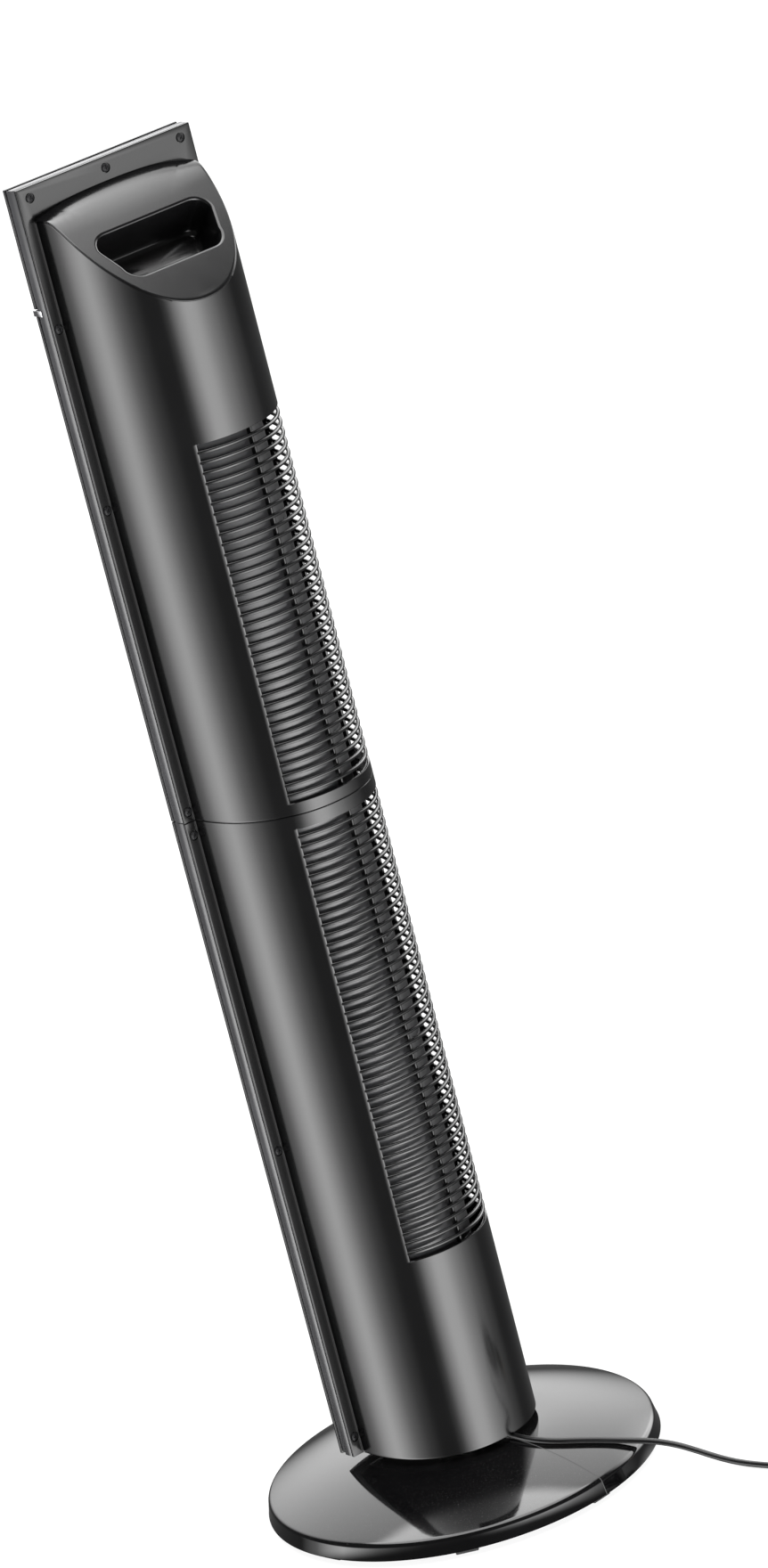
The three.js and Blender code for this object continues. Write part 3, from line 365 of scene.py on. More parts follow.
def makeRowTree():
    # copies in a straight row
    tree, enter, leave = newGeometryTree("rowOfCopies", [
        ("Count", "NodeSocketInt", 10), ("Step", "NodeSocketVector", (0, 0, 0.008)),
        ("Finish", "NodeSocketMaterial", None)])
    line = addNode(tree, "GeometryNodeMeshLine", (-400, 200), mode="OFFSET")
    copies = addNode(tree, "GeometryNodeInstanceOnPoints", (0, 0))
    wire(tree, (enter, "Count", line, "Count"), (enter, "Step", line, "Offset"), (line, 0, copies, "Points"),
         (enter, "Geometry", copies, "Instance"))
    return closeTree(tree, enter, leave, copies)


def makeRoundTree():
    # copies turned about the upright axis
    tree, enter, leave = newGeometryTree("copiesRound", [
        ("Count", "NodeSocketInt", 8), ("Start Angle", "NodeSocketFloat", 0.0),
        ("Finish", "NodeSocketMaterial", None)])
    line = addNode(tree, "GeometryNodeMeshLine", (-500, 200), {"Offset": (0, 0, 0)}, mode="OFFSET")
    order = addNode(tree, "GeometryNodeInputIndex", (-700, -200))
    step = addNode(tree, "ShaderNodeMath", (-500, -300), {0: 2 * math.pi}, operation="DIVIDE")
    share = addNode(tree, "ShaderNodeMath", (-350, -200), operation="MULTIPLY_ADD")
    turn = addNode(tree, "ShaderNodeCombineXYZ", (-180, -200))
    toRotation = addNode(tree, "FunctionNodeEulerToRotation", (-20, -200))
    copies = addNode(tree, "GeometryNodeInstanceOnPoints", (150, 0))
    wire(tree,
         (enter, "Count", line, "Count"), (enter, "Count", step, 1), (order, 0, share, 0),
         (step, 0, share, 1), (enter, "Start Angle", share, 2), (share, 0, turn, "Z"),
         (turn, 0, toRotation, 0), (toRotation, 0, copies, "Rotation"), (line, 0, copies, "Points"),
         (enter, "Geometry", copies, "Instance"))
    return closeTree(tree, enter, leave, copies)


def makePlacedTree():
    # a copy of one shape at each point of the piece, turned a little at random about Y
    tree, enter, leave = newGeometryTree("copiesAtPoints", [
        ("Shape", "NodeSocketObject", None), ("Seed", "NodeSocketInt", 3),
        ("Finish", "NodeSocketMaterial", None)])
    shape = addNode(tree, "GeometryNodeObjectInfo", (-400, -200))
    chance = addNode(tree, "FunctionNodeRandomValue", (-400, -420), {2: 0.0, 3: math.pi / 2},
                     data_type="FLOAT")
    turn = addNode(tree, "ShaderNodeCombineXYZ", (-200, -420))
    toRotation = addNode(tree, "FunctionNodeEulerToRotation", (-20, -420))
    copies = addNode(tree, "GeometryNodeInstanceOnPoints", (150, 0))
    wire(tree,
         (enter, "Shape", shape, 0), (enter, "Seed", chance, "Seed"), (chance, 1, turn, "Y"),
         (turn, 0, toRotation, 0), (toRotation, 0, copies, "Rotation"), (enter, "Geometry", copies, "Points"),
         (shape, "Geometry", copies, "Instance"))
    return closeTree(tree, enter, leave, copies)


rowTree, roundTree, placedTree = makeRowTree(), makeRoundTree(), makePlacedTree()


def repeated(made, tree, finish, **inputs):
    # runs the tree on a piece; inputs are given by the socket's plain name without its spaces
    change = made.modifiers.new("repeat", "NODES")
    change.node_group = tree
    sockets = {item.name.replace(" ", ""): item.identifier for item in tree.interface.items_tree
               if item.in_out == "INPUT"}
    for name, value in {"Finish": finish, **inputs}.items():
        change[sockets[name]] = value
    return bake(made)


cordSetting = {"diameter": 4.8, "coilCentre": (-190.6, 270.5), "turnPitch": 4.9, "outerTurn": 35.25,
               "turnsAcross": 4, "enterAngle": 58, "leaveAngle": 200, "lowLevel": 2.6, "highLevel": 7.45,
               "pointsPerTurn": 14, "length": 1.6, "inwardExtra": 200, "climb": 300}
cordRoute = [
    (-8.84, 62.9, 42.3), (-9.9, 70.6, 41.7), (-12.6, 80.5, 40.7), (-17.8, 90, 39.1), (-26, 99.5, 36.8),
    (-37, 108.5, 34.0), (-49, 117, 30.4), (-61, 125.5, 26.4), (-71, 133.5, 23.2), (-79, 141.5, 20.8),
    (-86.5, 151, 18.0), (-93, 161.5, 14.6), (-98.5, 173, 10.6), (-103, 185.5, 6.9), (-107, 199, 4.1),
    (-110.5, 213, 2.8), (-114, 227.5, 2.6), (-118.5, 242, 2.6), (-124.5, 256, 2.6), (-132.5, 269, 2.6),
    (-143, 280.5, 2.6), (-154.5, 289.5, 2.6),
]


def coilPoints(setting):
    # winds inwards on the floor, climbs, and winds outwards on top
    points = []
    inward = (setting["turnsAcross"] - 1) * 360 + setting["inwardExtra"]
    finishTurn = (setting["leaveAngle"] - setting["enterAngle"] - inward) % 360
    outward = (setting["turnsAcross"] - 1) * 360 + finishTurn
    total = inward + outward
    steps = int(total / 360 * setting["pointsPerTurn"])
    reach = (setting["turnsAcross"] - 1) * setting["turnPitch"]
    for step in range(steps + 1):
        turn = total * step / steps
        share = turn / inward if turn <= inward else 1 - (turn - inward) / outward
        radius = setting["outerTurn"] - reach * share
        climb = min(max((turn - inward) / setting["climb"] + 0.5, 0), 1)
        level = setting["lowLevel"] + (setting["highLevel"] - setting["lowLevel"]) * (
            climb * climb * (3 - 2 * climb))
        x, y = polar(radius, setting["enterAngle"] + turn)
        points.append((setting["coilCentre"][0] + x, setting["coilCentre"][1] + y, level))
    return points


def makeCord(setting):
    points = cordRoute + coilPoints(setting)
    curve = bpy.data.curves.new("mainsCord", "CURVE")
    curve.dimensions = "3D"
    curve.bevel_depth = setting["diameter"] / 2 * mm
    curve.bevel_resolution, curve.resolution_u = 4, 6
    curve.use_fill_caps = True
    spline = curve.splines.new("BEZIER")
    spline.bezier_points.add(len(points) - 1)
    for knot, point in zip(spline.bezier_points, points):
        knot.co = [value * mm for value in point]
        knot.handle_left_type = knot.handle_right_type = "AUTO"
    curve.materials.append(materials["cord_black"])
    cord = bpy.data.objects.new("mainsCord", curve)
    bpy.context.scene.collection.objects.link(cord)
    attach(cord, "base")
    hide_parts("cord_run", "cord_coil")
    return cord


mainsCord = makeCord(cordSetting)
print("cord laid")

plugSetting = {"body": (35, 25, 13.6), "neck": 11, "sleeveTip": 19.5, "pinLength": 19, "pinRadius": 2.0,
               "pinSpread": 9, "ribs": 5, "lift": 0.2}


def makePlug(setting, cord):
    # lies flat by the coil, with a ribbed sleeve where the cord comes in
    long, wide, high = setting["body"]
    tip, spread = setting["sleeveTip"], setting["pinSpread"]
    pinRadius, pinLength = setting["pinRadius"], setting["pinLength"]
    start = tip + setting["neck"]
    level = setting["lift"] + high / 2
    half = wide / 2
    side = [(start, -6), (start + 5, -9.5), (start + 11, -half + 0.3), (start + 18, -half),
            (start + long - 6, -half), (start + long - 1.5, -half + 1.5), (start + long, -half + 5)]
    outline = side + [(x, -y) for x, y in reversed(side)]
    body = bevelled(prism("plugBody", outline, 2, setting["lift"], setting["lift"] + high), 2.2, 4, 50)
    rings = []
    steps = setting["ribs"] * 4
    for step in range(steps + 1):
        share = step / steps
        radius = cord["diameter"] / 2 + 0.3 + 1.9 * share + (0.45 if step % 4 in (1, 2) else 0)
        rings.append([(tip + (start + 2 - tip) * share, a, level + b) for a, b in circle(radius, 24)])
    plug = merged("mainsPlug", [body, ringStack("plugSleeve", rings)])
    profile = [(0.1, 0), (pinRadius, 0), (pinRadius, pinLength - 1.4), (pinRadius - 0.5, pinLength - 0.4),
               (0.6, pinLength), (0.1, pinLength)]
    pins = []
    for across in (-spread, spread):
        rings = [[(start + long - 1 + rise, across + a, level + b) for a, b in circle(radius, 20)]
                 for radius, rise in profile]
        pins.append(ringStack("plugPin", rings))
    pinPair = merged("plugPins", pins)
    centre = Vector((*cord["coilCentre"], 0)) * mm
    place = (Matrix.Translation(centre) @ Matrix.Rotation(math.radians(cord["leaveAngle"] + 90), 4, "Z")
             @ Matrix.Translation((0, -cord["outerTurn"] * mm, 0)))
    plug.data.transform(place)
    pinPair.data.transform(place)
    finished(plug, "mains_plug", smooth=32)
    finished(pinPair, smooth=32, material=pinMetal, body="base")
    return plug, pinPair


mainsPlug, plugPins = makePlug(plugSetting, cordSetting)


tieSetting = {"angles": (100, 285), "halfWidth": 4}


def makeCoilTies(setting, cord):
    # two soft ties hold the coil's turns together
    ties = []
    wide = setting["halfWidth"]
    half = cord["turnsAcross"] * cord["turnPitch"] / 2 + 0.4
    middle = cord["outerTurn"] - (cord["turnsAcross"] - 1) * cord["turnPitch"] / 2
    top = cord["highLevel"] + cord["diameter"] / 2 + 0.1
    for angle in setting["angles"]:
        outer = [(half - 0.8, 0.02), (half + 0.7, 1.5), (half + 0.7, top - 1.6), (half - 1.2, top + 0.7)]
        inner = [(half - 1.0, 0.16), (half, 1.6), (half, top - 1.9), (half - 1.5, top)]
        outer, inner = ([*line, *((-x, z) for x, z in reversed(line))] for line in (outer, inner))
        rings = []
        for along, shape in ((-wide, outer), (wide, outer), (wide, inner), (-wide, inner), (-wide, outer)):
            rings.append([(middle + across, along, rise) for across, rise in shape])
        tie = ringStack("coilTie", rings, capped=False)
        tie.data.transform(Matrix.Translation(Vector((*cord["coilCentre"], 0)) * mm)
                           @ Matrix.Rotation(math.radians(angle), 4, "Z"))
        ties.append(tie)
    return finished(merged("coilTies", ties), smooth=50, material=materials["rubber_black"], body="base")


coilTies = makeCoilTies(tieSetting, cordSetting)
print("cord, plug and ties made")


# the tower's main sizes come from the frame
shellLow, shellHigh = boxOf("rear_shell_lower")
upperLow, upperHigh = boxOf("rear_shell_upper")
frameLow, frameHigh = boxOf("front_frame_lower")
grilleLow = boxOf("outlet_grille_lower")[0]
edgeX = shellHigh[0]
towerBottom, towerTop = shellLow[2], upperHigh[2]
seamLow, seamHigh = shellHigh[2], upperLow[2]
flangeFront = shellLow[1]
shellSetting = {"flange": 2.5, "margin": 9.7, "wall": 2.8, "power": 2.14, "windowStart": 61, "windowEnd": 168,
                "slatPitch": 8.02, "slotHeight": 4.6, "slatHeight": 2.9, "seamBand": 5, "windowFoot": 203,
                "windowDrop": 203, "ribAngle": 96.2, "ribWidth": 1.7, "ribReach": (2.6, 7.5),
                "openChamfer": 0.8, "chamferRise": 0.5, "guard": 1.5, "edge": 0.35, "topPlate": 40,
                "handleSeat": 1.3}
flangeFace = flangeFront + shellSetting["flange"]
shellHalf = edgeX - shellSetting["margin"]
shellDepth = shellHigh[1] - flangeFace


def shellPoint(angle, inset=0.0):
    turn = math.radians(angle)
    share = 2 / shellSetting["power"]
    across = math.cos(turn)
    x = math.copysign(abs(across) ** share, across) * (shellHalf - inset)
    return x, flangeFace + abs(math.sin(turn)) ** share * (shellDepth - inset)


handleSetting = {"level": 33, "roundOff": 29.3, "ease": 8, "archDrop": 16.5, "archFall": 9, "soft": 5,
                 "crown": 1.5, "crownMiddle": 22, "crownReach": 46,
                 "pocketCentre": 29, "pocketWidth": 102, "pocketLength": 43, "narrow": 7, "corner": 12,
                 "depth": 34, "lip": 2.2}


def crownOf(y):
    # the sloping face swells a little between its ends
    away = (y - handleSetting["crownMiddle"]) / handleSetting["crownReach"]
    return handleSetting["crown"] * max(1 - away * away, 0)


def handleSurface(x, y):
    # height of the handle's sloping face, which eases off towards the flange
    setting = handleSetting
    share = min(max((y - flangeFace) / setting["roundOff"], 0), 1)
    slope = towerTop - setting["level"] - y - setting["ease"] * (1 - share) ** 2 + crownOf(y)
    arch = towerTop - setting["archDrop"] - setting["archFall"] * (x / shellHalf) ** 2
    apart = max(setting["soft"] - abs(slope - arch), 0) / setting["soft"]
    return min(slope, arch) - apart * apart * setting["soft"] / 4


def windowLevels(low, high):
    # where the slots start and end between two heights, and how many fit
    setting = shellSetting
    solid = setting["slatPitch"] - setting["slotHeight"]
    count = int((high - low - solid) // setting["slatPitch"])
    first = low + (high - low - count * setting["slatPitch"] + solid) / 2
    return first, first + count * setting["slatPitch"] - solid, count


def makeShellWall(name, bottom, top, window):
    # top is a function of place; the window is left open between its two angles and two heights
    setting = shellSetting
    first, last = setting["windowStart"], setting["windowEnd"]
    angles = [1.2 + (first - 2.2) * k / 29 for k in range(30)]
    angles += [first + (last - first) * k / 56 for k in range(57)]
    angles += [last + (178.8 - last) * k / 6 for k in range(1, 7)]
    # the wall flares a little where it meets the flange
    foot = [(1.5, -0.5), (0.55, 0.3), (0.15, 1.2)]
    outer = [(shellHalf + x, flangeFace + y) for x, y in foot]
    inner = [(shellHalf - setting["wall"], flangeFace + y) for x, y in foot]
    outer += [shellPoint(angle) for angle in angles] + [(-x, y) for x, y in reversed(outer)]
    inner += [shellPoint(angle, setting["wall"]) for angle in angles] + [(-x, y) for x, y in reversed(inner)]
    edges = [False] * len(foot)
    opened = edges + [first <= angle < last for angle in angles] + edges
    rise, guard = setting["chamferRise"], setting["guard"]
    # the guard rows keep the edges' rounding out of the tall faces' shading
    levels = [bottom, bottom + guard, window[0] - rise - guard, window[0] - rise, *window, window[1] + rise,
              window[1] + rise + guard, "guard", "top"]
    openRow = levels.index(window[0])
    count = len(outer)
    jambs = {len(foot) + angles.index(angle): angle for angle in (first, last)}
    points, faces = [], []
    for side in (outer, inner):
        for level in levels:
            for column, (x, y) in enumerate(side):
                if side is outer and level in window and column in jambs:
                    x, y = shellPoint(jambs[column], setting["openChamfer"])
                drop = {"guard": guard, "top": 0}.get(level)
                points.append((x, y, level if drop is None else top(x, y) - drop))
    rows = len(levels)

    def index(side, row, column):
        return (side * rows + row) * count + column

    kept = {(row, column) for row in range(rows - 1) for column in range(count - 1)
            if not (row == openRow and opened[column])}
    for row, column in sorted(kept):
        corner, right = (row, column), (row, column + 1)
        above, across = (row + 1, column), (row + 1, column + 1)
        for side in (0, 1):
            faces.append(tuple(index(side, *at) for at in (corner, right, across, above)))
        for beside, a, b in (((row - 1, column), corner, right), (above, above, across),
                             ((row, column - 1), corner, above), (right, right, across)):
            if beside not in kept:
                faces.append((index(0, *a), index(0, *b), index(1, *b), index(1, *a)))
    return bevelled(meshObject(name, points, faces), setting["edge"], 2, 50)


screwSetting = {"inset": 5.5, "levels": (61, 305, 567, 586), "drops": (251.7, 108.8), "topDrop": 8.6,
                "topShift": 5, "seat": 4.0, "seatDepth": 1.2, "head": 3.4}


def screwPlaces():
    setting = screwSetting
    levels = list(setting["levels"]) + [towerTop - drop for drop in setting["drops"]]
    across = edgeX - setting["inset"]
    places = [(side * across, level) for level in levels for side in (-1, 1)]
    top = towerTop - setting["topDrop"]
    corner = across - setting["topShift"]
    return places + [(-corner, top), (0, top), (corner, top)]


def makeFlange(name, low, high, topped):
    inside = shellHalf - shellSetting["wall"]
    if topped:
        outline = [(-edgeX, low), (-edgeX, high), (edgeX, high), (edgeX, low), (inside, low),
                   (inside, high - shellSetting["topPlate"]), (-inside, high - shellSetting["topPlate"]),
                   (-inside, low)]
        flange = prism(name, outline, 1, flangeFront, flangeFace)
    else:
        flange = merged(name, [blockOf("strip", (left, flangeFront, low), (right, flangeFace, high))
                               for left, right in ((-edgeX, -inside), (inside, edgeX))])
    flange = bevelled(flange, 0.5, 3, 50)
    for x, z in screwPlaces():
        if low < z < high:
            outline = [(x + a, z + b) for a, b in circle(screwSetting["seat"], 32)]
            carved(flange, prism("seat", outline, 1, flangeFace - screwSetting["seatDepth"], flangeFace + 2))
    return flange


def makeSlats(name, count, first):
    # one curved slat with rounded faces, repeated up the window
    setting = shellSetting
    lower = [(2.7, 0.4), (2.3, 0), (1.0, 0), (0.5, 0.2), (0.14, 0.65), (0, 1.3)]
    outline = lower + [(inset, setting["slatHeight"] - rise) for inset, rise in reversed(lower)]
    solid = setting["slatPitch"] - setting["slotHeight"]
    base = first + setting["slotHeight"] + (solid - setting["slatHeight"]) / 2
    rings = []
    span = setting["windowEnd"] - setting["windowStart"]
    # the slat's ends run a little into the wall
    steps, extra = 44, 1.0
    for k in range(steps + 1):
        angle = setting["windowStart"] - extra + (span + 2 * extra) * k / steps
        rings.append([(*shellPoint(angle, inset), base + rise) for inset, rise in outline])
    slat = ringStack(name, rings)
    return repeated(slat, rowTree, materials["shell_black"], Count=count - 1,
                    Step=(0, 0, setting["slatPitch"] * mm))


def makeRib(low, high):
    # the upright rib that ties the slats together
    angle, spread = shellSetting["ribAngle"], shellSetting["ribWidth"] / 2
    near, far = shellSetting["ribReach"]
    corners = [shellPoint(angle - spread, near), shellPoint(angle + spread, near),
               shellPoint(angle + spread, far), shellPoint(angle - spread, far)]
    return bevelled(prism("rib", corners, 2, low - 2, high + 2), 0.7, 3, 50)


def makeRearShell(name, node, low, high, windowLow, windowHigh, topped):
    # wall, flange and rib as one moulding; the slats stay a piece of their own
    first, last, count = windowLevels(windowLow, windowHigh)
    def top(x, y):
        return handleSurface(x, y) - shellSetting["handleSeat"] if topped else high

    wall = makeShellWall(name + "Wall", low, top, (first, last))
    flange = makeFlange(name + "Flange", low, high, topped)
    slats = makeSlats(name + "Slats", count, first)
    shell = merged(name, [wall, flange, makeRib(first, last)])
    finished(shell, node)
    finished(slats, smooth=50, material=materials["shell_black"], body="tower")
    return shell, slats


windowFoot, windowTop = shellSetting["windowFoot"], towerTop - shellSetting["windowDrop"]
seamMiddle = (seamLow + seamHigh) / 2
makeRearShell("rearShellLower", "rear_shell_lower", towerBottom, seamLow, windowFoot,
              seamMiddle - shellSetting["seamBand"], False)
makeRearShell("rearShellUpper", "rear_shell_upper", seamHigh, towerTop,
              seamMiddle + shellSetting["seamBand"], windowTop, True)
print("rear shells made")


def crossing(outline, angle):
    # where a ray from the middle meets a closed outline of (u, v) points
    direction = Vector((math.cos(angle), math.sin(angle)))
    best = None
    for k, start in enumerate(outline):
        a, b = Vector(start), Vector(outline[(k + 1) % len(outline)])
        side = b - a
        cross = direction.x * side.y - direction.y * side.x
        if abs(cross) < 1e-12:
            continue
        reach = (a.x * side.y - a.y * side.x) / cross
        share = (a.x * direction.y - a.y * direction.x) / cross
        if reach > 0 and -1e-9 <= share <= 1 + 1e-9 and (best is None or reach < best):
            best = reach
    return direction.x * best, direction.y * best


def pocketOutline(margin):
    setting = handleSetting
    half, reach = setting["pocketWidth"] / 2 + margin, setting["pocketLength"] / 2 + margin
    corner = max(setting["corner"] + margin, 1.5)
    points = []
    for sideU, sideV, start in ((1, 1, 0), (-1, 1, 90), (-1, -1, 180), (1, -1, 270)):
        narrow = setting["narrow"] if sideV < 0 else 0
        for step in range(13):
            u, v = polar(corner, start + 90 * step / 12)
            points.append((sideU * (half - narrow - corner) + u, sideV * (reach - corner) + v))
    return points


def makeHandle(setting):
    # rings run from the pocket's floor over its lip and the sloping face, round the edge, and back underneath
    slant = math.sqrt(0.5)
    centreY = setting["pocketCentre"]
    centreZ = towerTop - setting["level"] - centreY
    front = flangeFace + 0.3
    plan = [shellPoint(2 * k) for k in range(1, 90)]
    plan = [(shellHalf, front), *plan, (-shellHalf, front)]
    boundary = [(x, (centreY - y) / slant) for x, y in plan]
    count, fullTurn = 200, 2 * math.pi
    angles = sorted([fullTurn * k / count for k in range(count)]
                    + [math.atan2(v, u) % fullTurn for u, v in (boundary[0], boundary[-1])])
    edge = [crossing(boundary, angle) for angle in angles]

    def onFace(u, v, drop=0.0):
        y = centreY - v * slant
        return u, y, handleSurface(u, y) - drop

    def inPocket(margin, height):
        ring = []
        outline = pocketOutline(margin)
        for angle in angles:
            u, v = crossing(outline, angle)
            y = centreY - v * slant + height * slant
            ring.append((u, y, centreZ + v * slant + height * slant + crownOf(y)))
        return ring

    def pulledIn(distance, drop):
        ring = []
        for u, v in edge:
            x, y = u, centreY - v * slant
            length = math.hypot(x, y - centreY)
            share = 1 - distance / length
            ring.append(onFace(u * share, v * share, drop))
        return ring

    lip = setting["lip"]
    mouth = [crossing(pocketOutline(lip), angle) for angle in angles]
    rings = [inPocket(-20, -setting["depth"])]
    floorRound = 6
    for turn in (0, 30, 60, 90):
        reach, rise = polar(floorRound, turn)
        rings.append(inPocket(-1.5 - floorRound + rise, -setting["depth"] + floorRound - reach))
    rings.append(inPocket(-0.4, -setting["depth"] / 2))
    rings.append(inPocket(0, -lip))
    for turn in (22.5, 45, 67.5):
        across, rise = polar(lip, turn)
        rings.append(inPocket(lip - across, rise - lip))
    rings.append(inPocket(lip, 0))
    rings.append(inPocket(lip + 0.5, 0))
    for share in (0.04, 0.12, 0.25, 0.4, 0.55, 0.7, 0.83, 0.93):
        rings.append([onFace(u + (edgeU - u) * share, v + (edgeV - v) * share)
                      for (u, v), (edgeU, edgeV) in zip(mouth, edge)])
    rings += [pulledIn(distance, drop)
              for distance, drop in ((0.9, 0.0), (0.35, 0.15), (0.08, 0.5), (0.08, 1.0), (3.4, 3.2))]
    rings += [inPocket(margin, height)
              for margin, height in ((lip + 1.2, -3.0), (1.8, -6), (1.6, -setting["depth"] - 1.9))]
    return finished(ringStack("handleInsert", rings), "handle_insert", smooth=38)


makeHandle(handleSetting)
print("handle made")


coverLow, coverHigh = boxOf("base_cover_left")
footLow, footHigh = boxOf("base_foot_1")
baseSetting = {"turn": 8, "footRadius": 157.4, "rimInset": 2.4, "rimTop": 17.5, "flat": 60, "power": 1.8,
               "wall": 2.5, "hole": 17.6, "feet": 8, "footAcross": 18, "footDeep": 10, "footInset": 6.4,
               "seam": 0.35}
baseTop, rimFoot = coverHigh[2], coverLow[2]


def domeHeight(radius):
    setting = baseSetting
    rim = setting["footRadius"] - setting["rimInset"]
    share = min(max((radius - setting["flat"]) / (rim - setting["flat"]), 0), 1)
    return baseTop - (baseTop - setting["rimTop"]) * share ** setting["power"]


def makeBaseCover(name, node, start):
    # half of the dome, turned from one seam to the other
    setting = baseSetting
    rim, foot = setting["footRadius"] - setting["rimInset"], setting["footRadius"]
    roundOff = 3.2
    reach = [setting["flat"] + (rim - roundOff - setting["flat"]) * k / 18 for k in range(19)]
    outer = [(setting["hole"], baseTop), (40, baseTop)] + [(radius, domeHeight(radius)) for radius in reach]
    lastRadius, lastHeight = outer[-1]
    knee, edge = (rim - 0.2, lastHeight - 1.1), (rim + 0.15, lastHeight - 4.0)
    for k in range(1, 7):
        share = k / 6
        a, b, c = (1 - share) ** 2, 2 * share * (1 - share), share ** 2
        outer.append((a * lastRadius + b * knee[0] + c * edge[0], a * lastHeight + b * knee[1] + c * edge[1]))
    outer += [(foot - 0.35, rimFoot + 1.0), (foot - 0.1, rimFoot + 0.4), (foot - 0.7, rimFoot)]
    inner = [(foot - setting["wall"], rimFoot), (rim - setting["wall"], 12)]
    inner += [(radius - 0.6, domeHeight(radius) - setting["wall"]) for radius in reversed(reach)]
    inner.append((setting["hole"], baseTop - setting["wall"]))
    profile = outer + inner
    steps = 96
    acrossX, acrossY = polar(setting["seam"], start + 90)
    rings = []
    for k in range(steps + 1):
        x, y = polar(1, start + 180 * k / steps)
        # the two end faces draw back from the seam
        shift = 1 if k in (0, steps) else 0
        rings.append([(radius * x + acrossX * shift, radius * y + acrossY * shift, height)
                      for radius, height in profile])
    cover = finished(ringStack(name, rings), node, smooth=30)
    cover.visible_glossy = False
    return cover


baseAxis = 90 + baseSetting["turn"]
makeBaseCover("baseCoverLeft", "base_cover_left", baseAxis)
makeBaseCover("baseCoverRight", "base_cover_right", baseAxis - 180)


def makeFeet(setting):
    outer = setting["footRadius"] - setting["footInset"]
    half = setting["footAcross"] / 2
    foot = blockOf("foot", (-half, outer - setting["footDeep"], 0), (half, outer, footHigh[2] - footLow[2]))
    foot = bevelled(foot, 1.0, 3, 40)
    feet = repeated(foot, roundTree, materials["rubber_black"], Count=setting["feet"],
                    StartAngle=math.radians(setting["turn"]))
    feet.name = "baseFeet"
    feet.visible_glossy = False
    names = [f"base_foot_{k + 1}" for k in range(setting["feet"])]
    return finished(feet, *names, material=materials["rubber_black"])


makeFeet(baseSetting)


reliefSetting = {"root": 40, "length": 23, "rootRadius": 3.2, "ribs": 6, "droop": -0.026}


def makeRelief(setting, cord):
    # tapered and ribbed, with its root held between the two covers
    x, y = polar(1, baseAxis)
    start = Vector((x * setting["root"], y * setting["root"], baseTop + setting["rootRadius"]))
    side, up = Vector((-y, x, 0)), Vector((0, 0, 1))
    along = Vector((x, y, setting["droop"])).normalized()
    rings = []
    steps = setting["ribs"] * 6
    for step in range(steps + 1):
        share = step / steps
        radius = setting["rootRadius"] + (cord["diameter"] / 2 + 0.35 - setting["rootRadius"]) * share
        radius -= 0.5 if step % 6 in (3, 4) and 0 < step < steps - 2 else 0
        middle = start + along * (setting["length"] * share)
        rings.append([tuple(middle + side * a + up * b) for a, b in circle(radius, 24)])
    taper = ringStack("cordRelief", rings)
    root = bevelled(blockOf("reliefRoot", (-4.2, setting["root"] - 6, baseTop - 5.5),
                            (4.2, setting["root"], baseTop + 6.2)), 0.8, 3)
    root.data.transform(Matrix.Rotation(math.radians(baseSetting["turn"]), 4, "Z"))
    return finished(merged("cordRelief", [root, taper]), "cord_relief")


makeRelief(reliefSetting, cordSetting)
print("base made")


frameSetting = {"wall": 3, "web": 2, "opening": 60, "openingFoot": 97, "openingDrop": 105, "step": 0.9,
                "stepDepth": 4.2, "bandSlope": 0.95, "bandWidth": 3.7, "panelHalf": 56, "panelLow": 78,
                "panelHigh": 20, "edge": 0.35, "frontEdge": 0.5}
frameFront, frameBack = frameLow[1], frameHigh[1]


def makeFrontFrame(name, node, low, high, footed, topped):
    # a tray open to the rear: its sides show as two bands with a step between them
    setting = frameSetting
    edge, inside = edgeX - setting["step"], edgeX - setting["wall"]
    back, beyond = frameFront + setting["stepDepth"], frameBack + 1
    slope, run = setting["bandSlope"], frameBack - setting["bandWidth"]
    plan = [(-edgeX, back), (edgeX, back), (edgeX, run), (edgeX - slope, frameBack),
            (slope - edgeX, frameBack), (-edgeX, run)]
    body = bevelled(prism(name, plan, 2, low, high), setting["edge"], 2, 60)
    frontLow = low + (setting["step"] if footed else 0)
    frontHigh = high - (setting["step"] if topped else 0)
    front = blockOf("frameFront", (-edge, frameFront, frontLow), (edge, back + 1, frontHigh))
    body = carved(body, bevelled(front, setting["frontEdge"], 3), "UNION")

    def cut(half, start, foot, top):
        return carved(body, blockOf("cut", (-half, start, foot), (half, beyond, top)))

    body = cut(inside, frameFront + setting["web"], low + (setting["wall"] if footed else -1),
               high - (setting["wall"] if topped else -1))
    body = cut(setting["opening"], frameFront - 1, setting["openingFoot"] if footed else low - 1,
               towerTop - setting["openingDrop"] if topped else high + 1)
    if topped:
        body = cut(setting["panelHalf"], frameFront - 1, towerTop - setting["panelLow"],
                   towerTop - setting["panelHigh"])
    return finished(body, node)


upperFrameLow, upperFrameHigh = boxOf("front_frame_upper")
makeFrontFrame("frontFrameLower", "front_frame_lower", frameLow[2], frameHigh[2], True, False)
makeFrontFrame("frontFrameUpper", "front_frame_upper", upperFrameLow[2], upperFrameHigh[2], False, True)

outletSetting = {"half": 57, "foot": 100, "drop": 108, "seam": 4, "plate": 2.8, "bars": 9, "barThick": 2.4,
                 "barDeep": 8, "crossBars": 3, "crossHigh": 3}


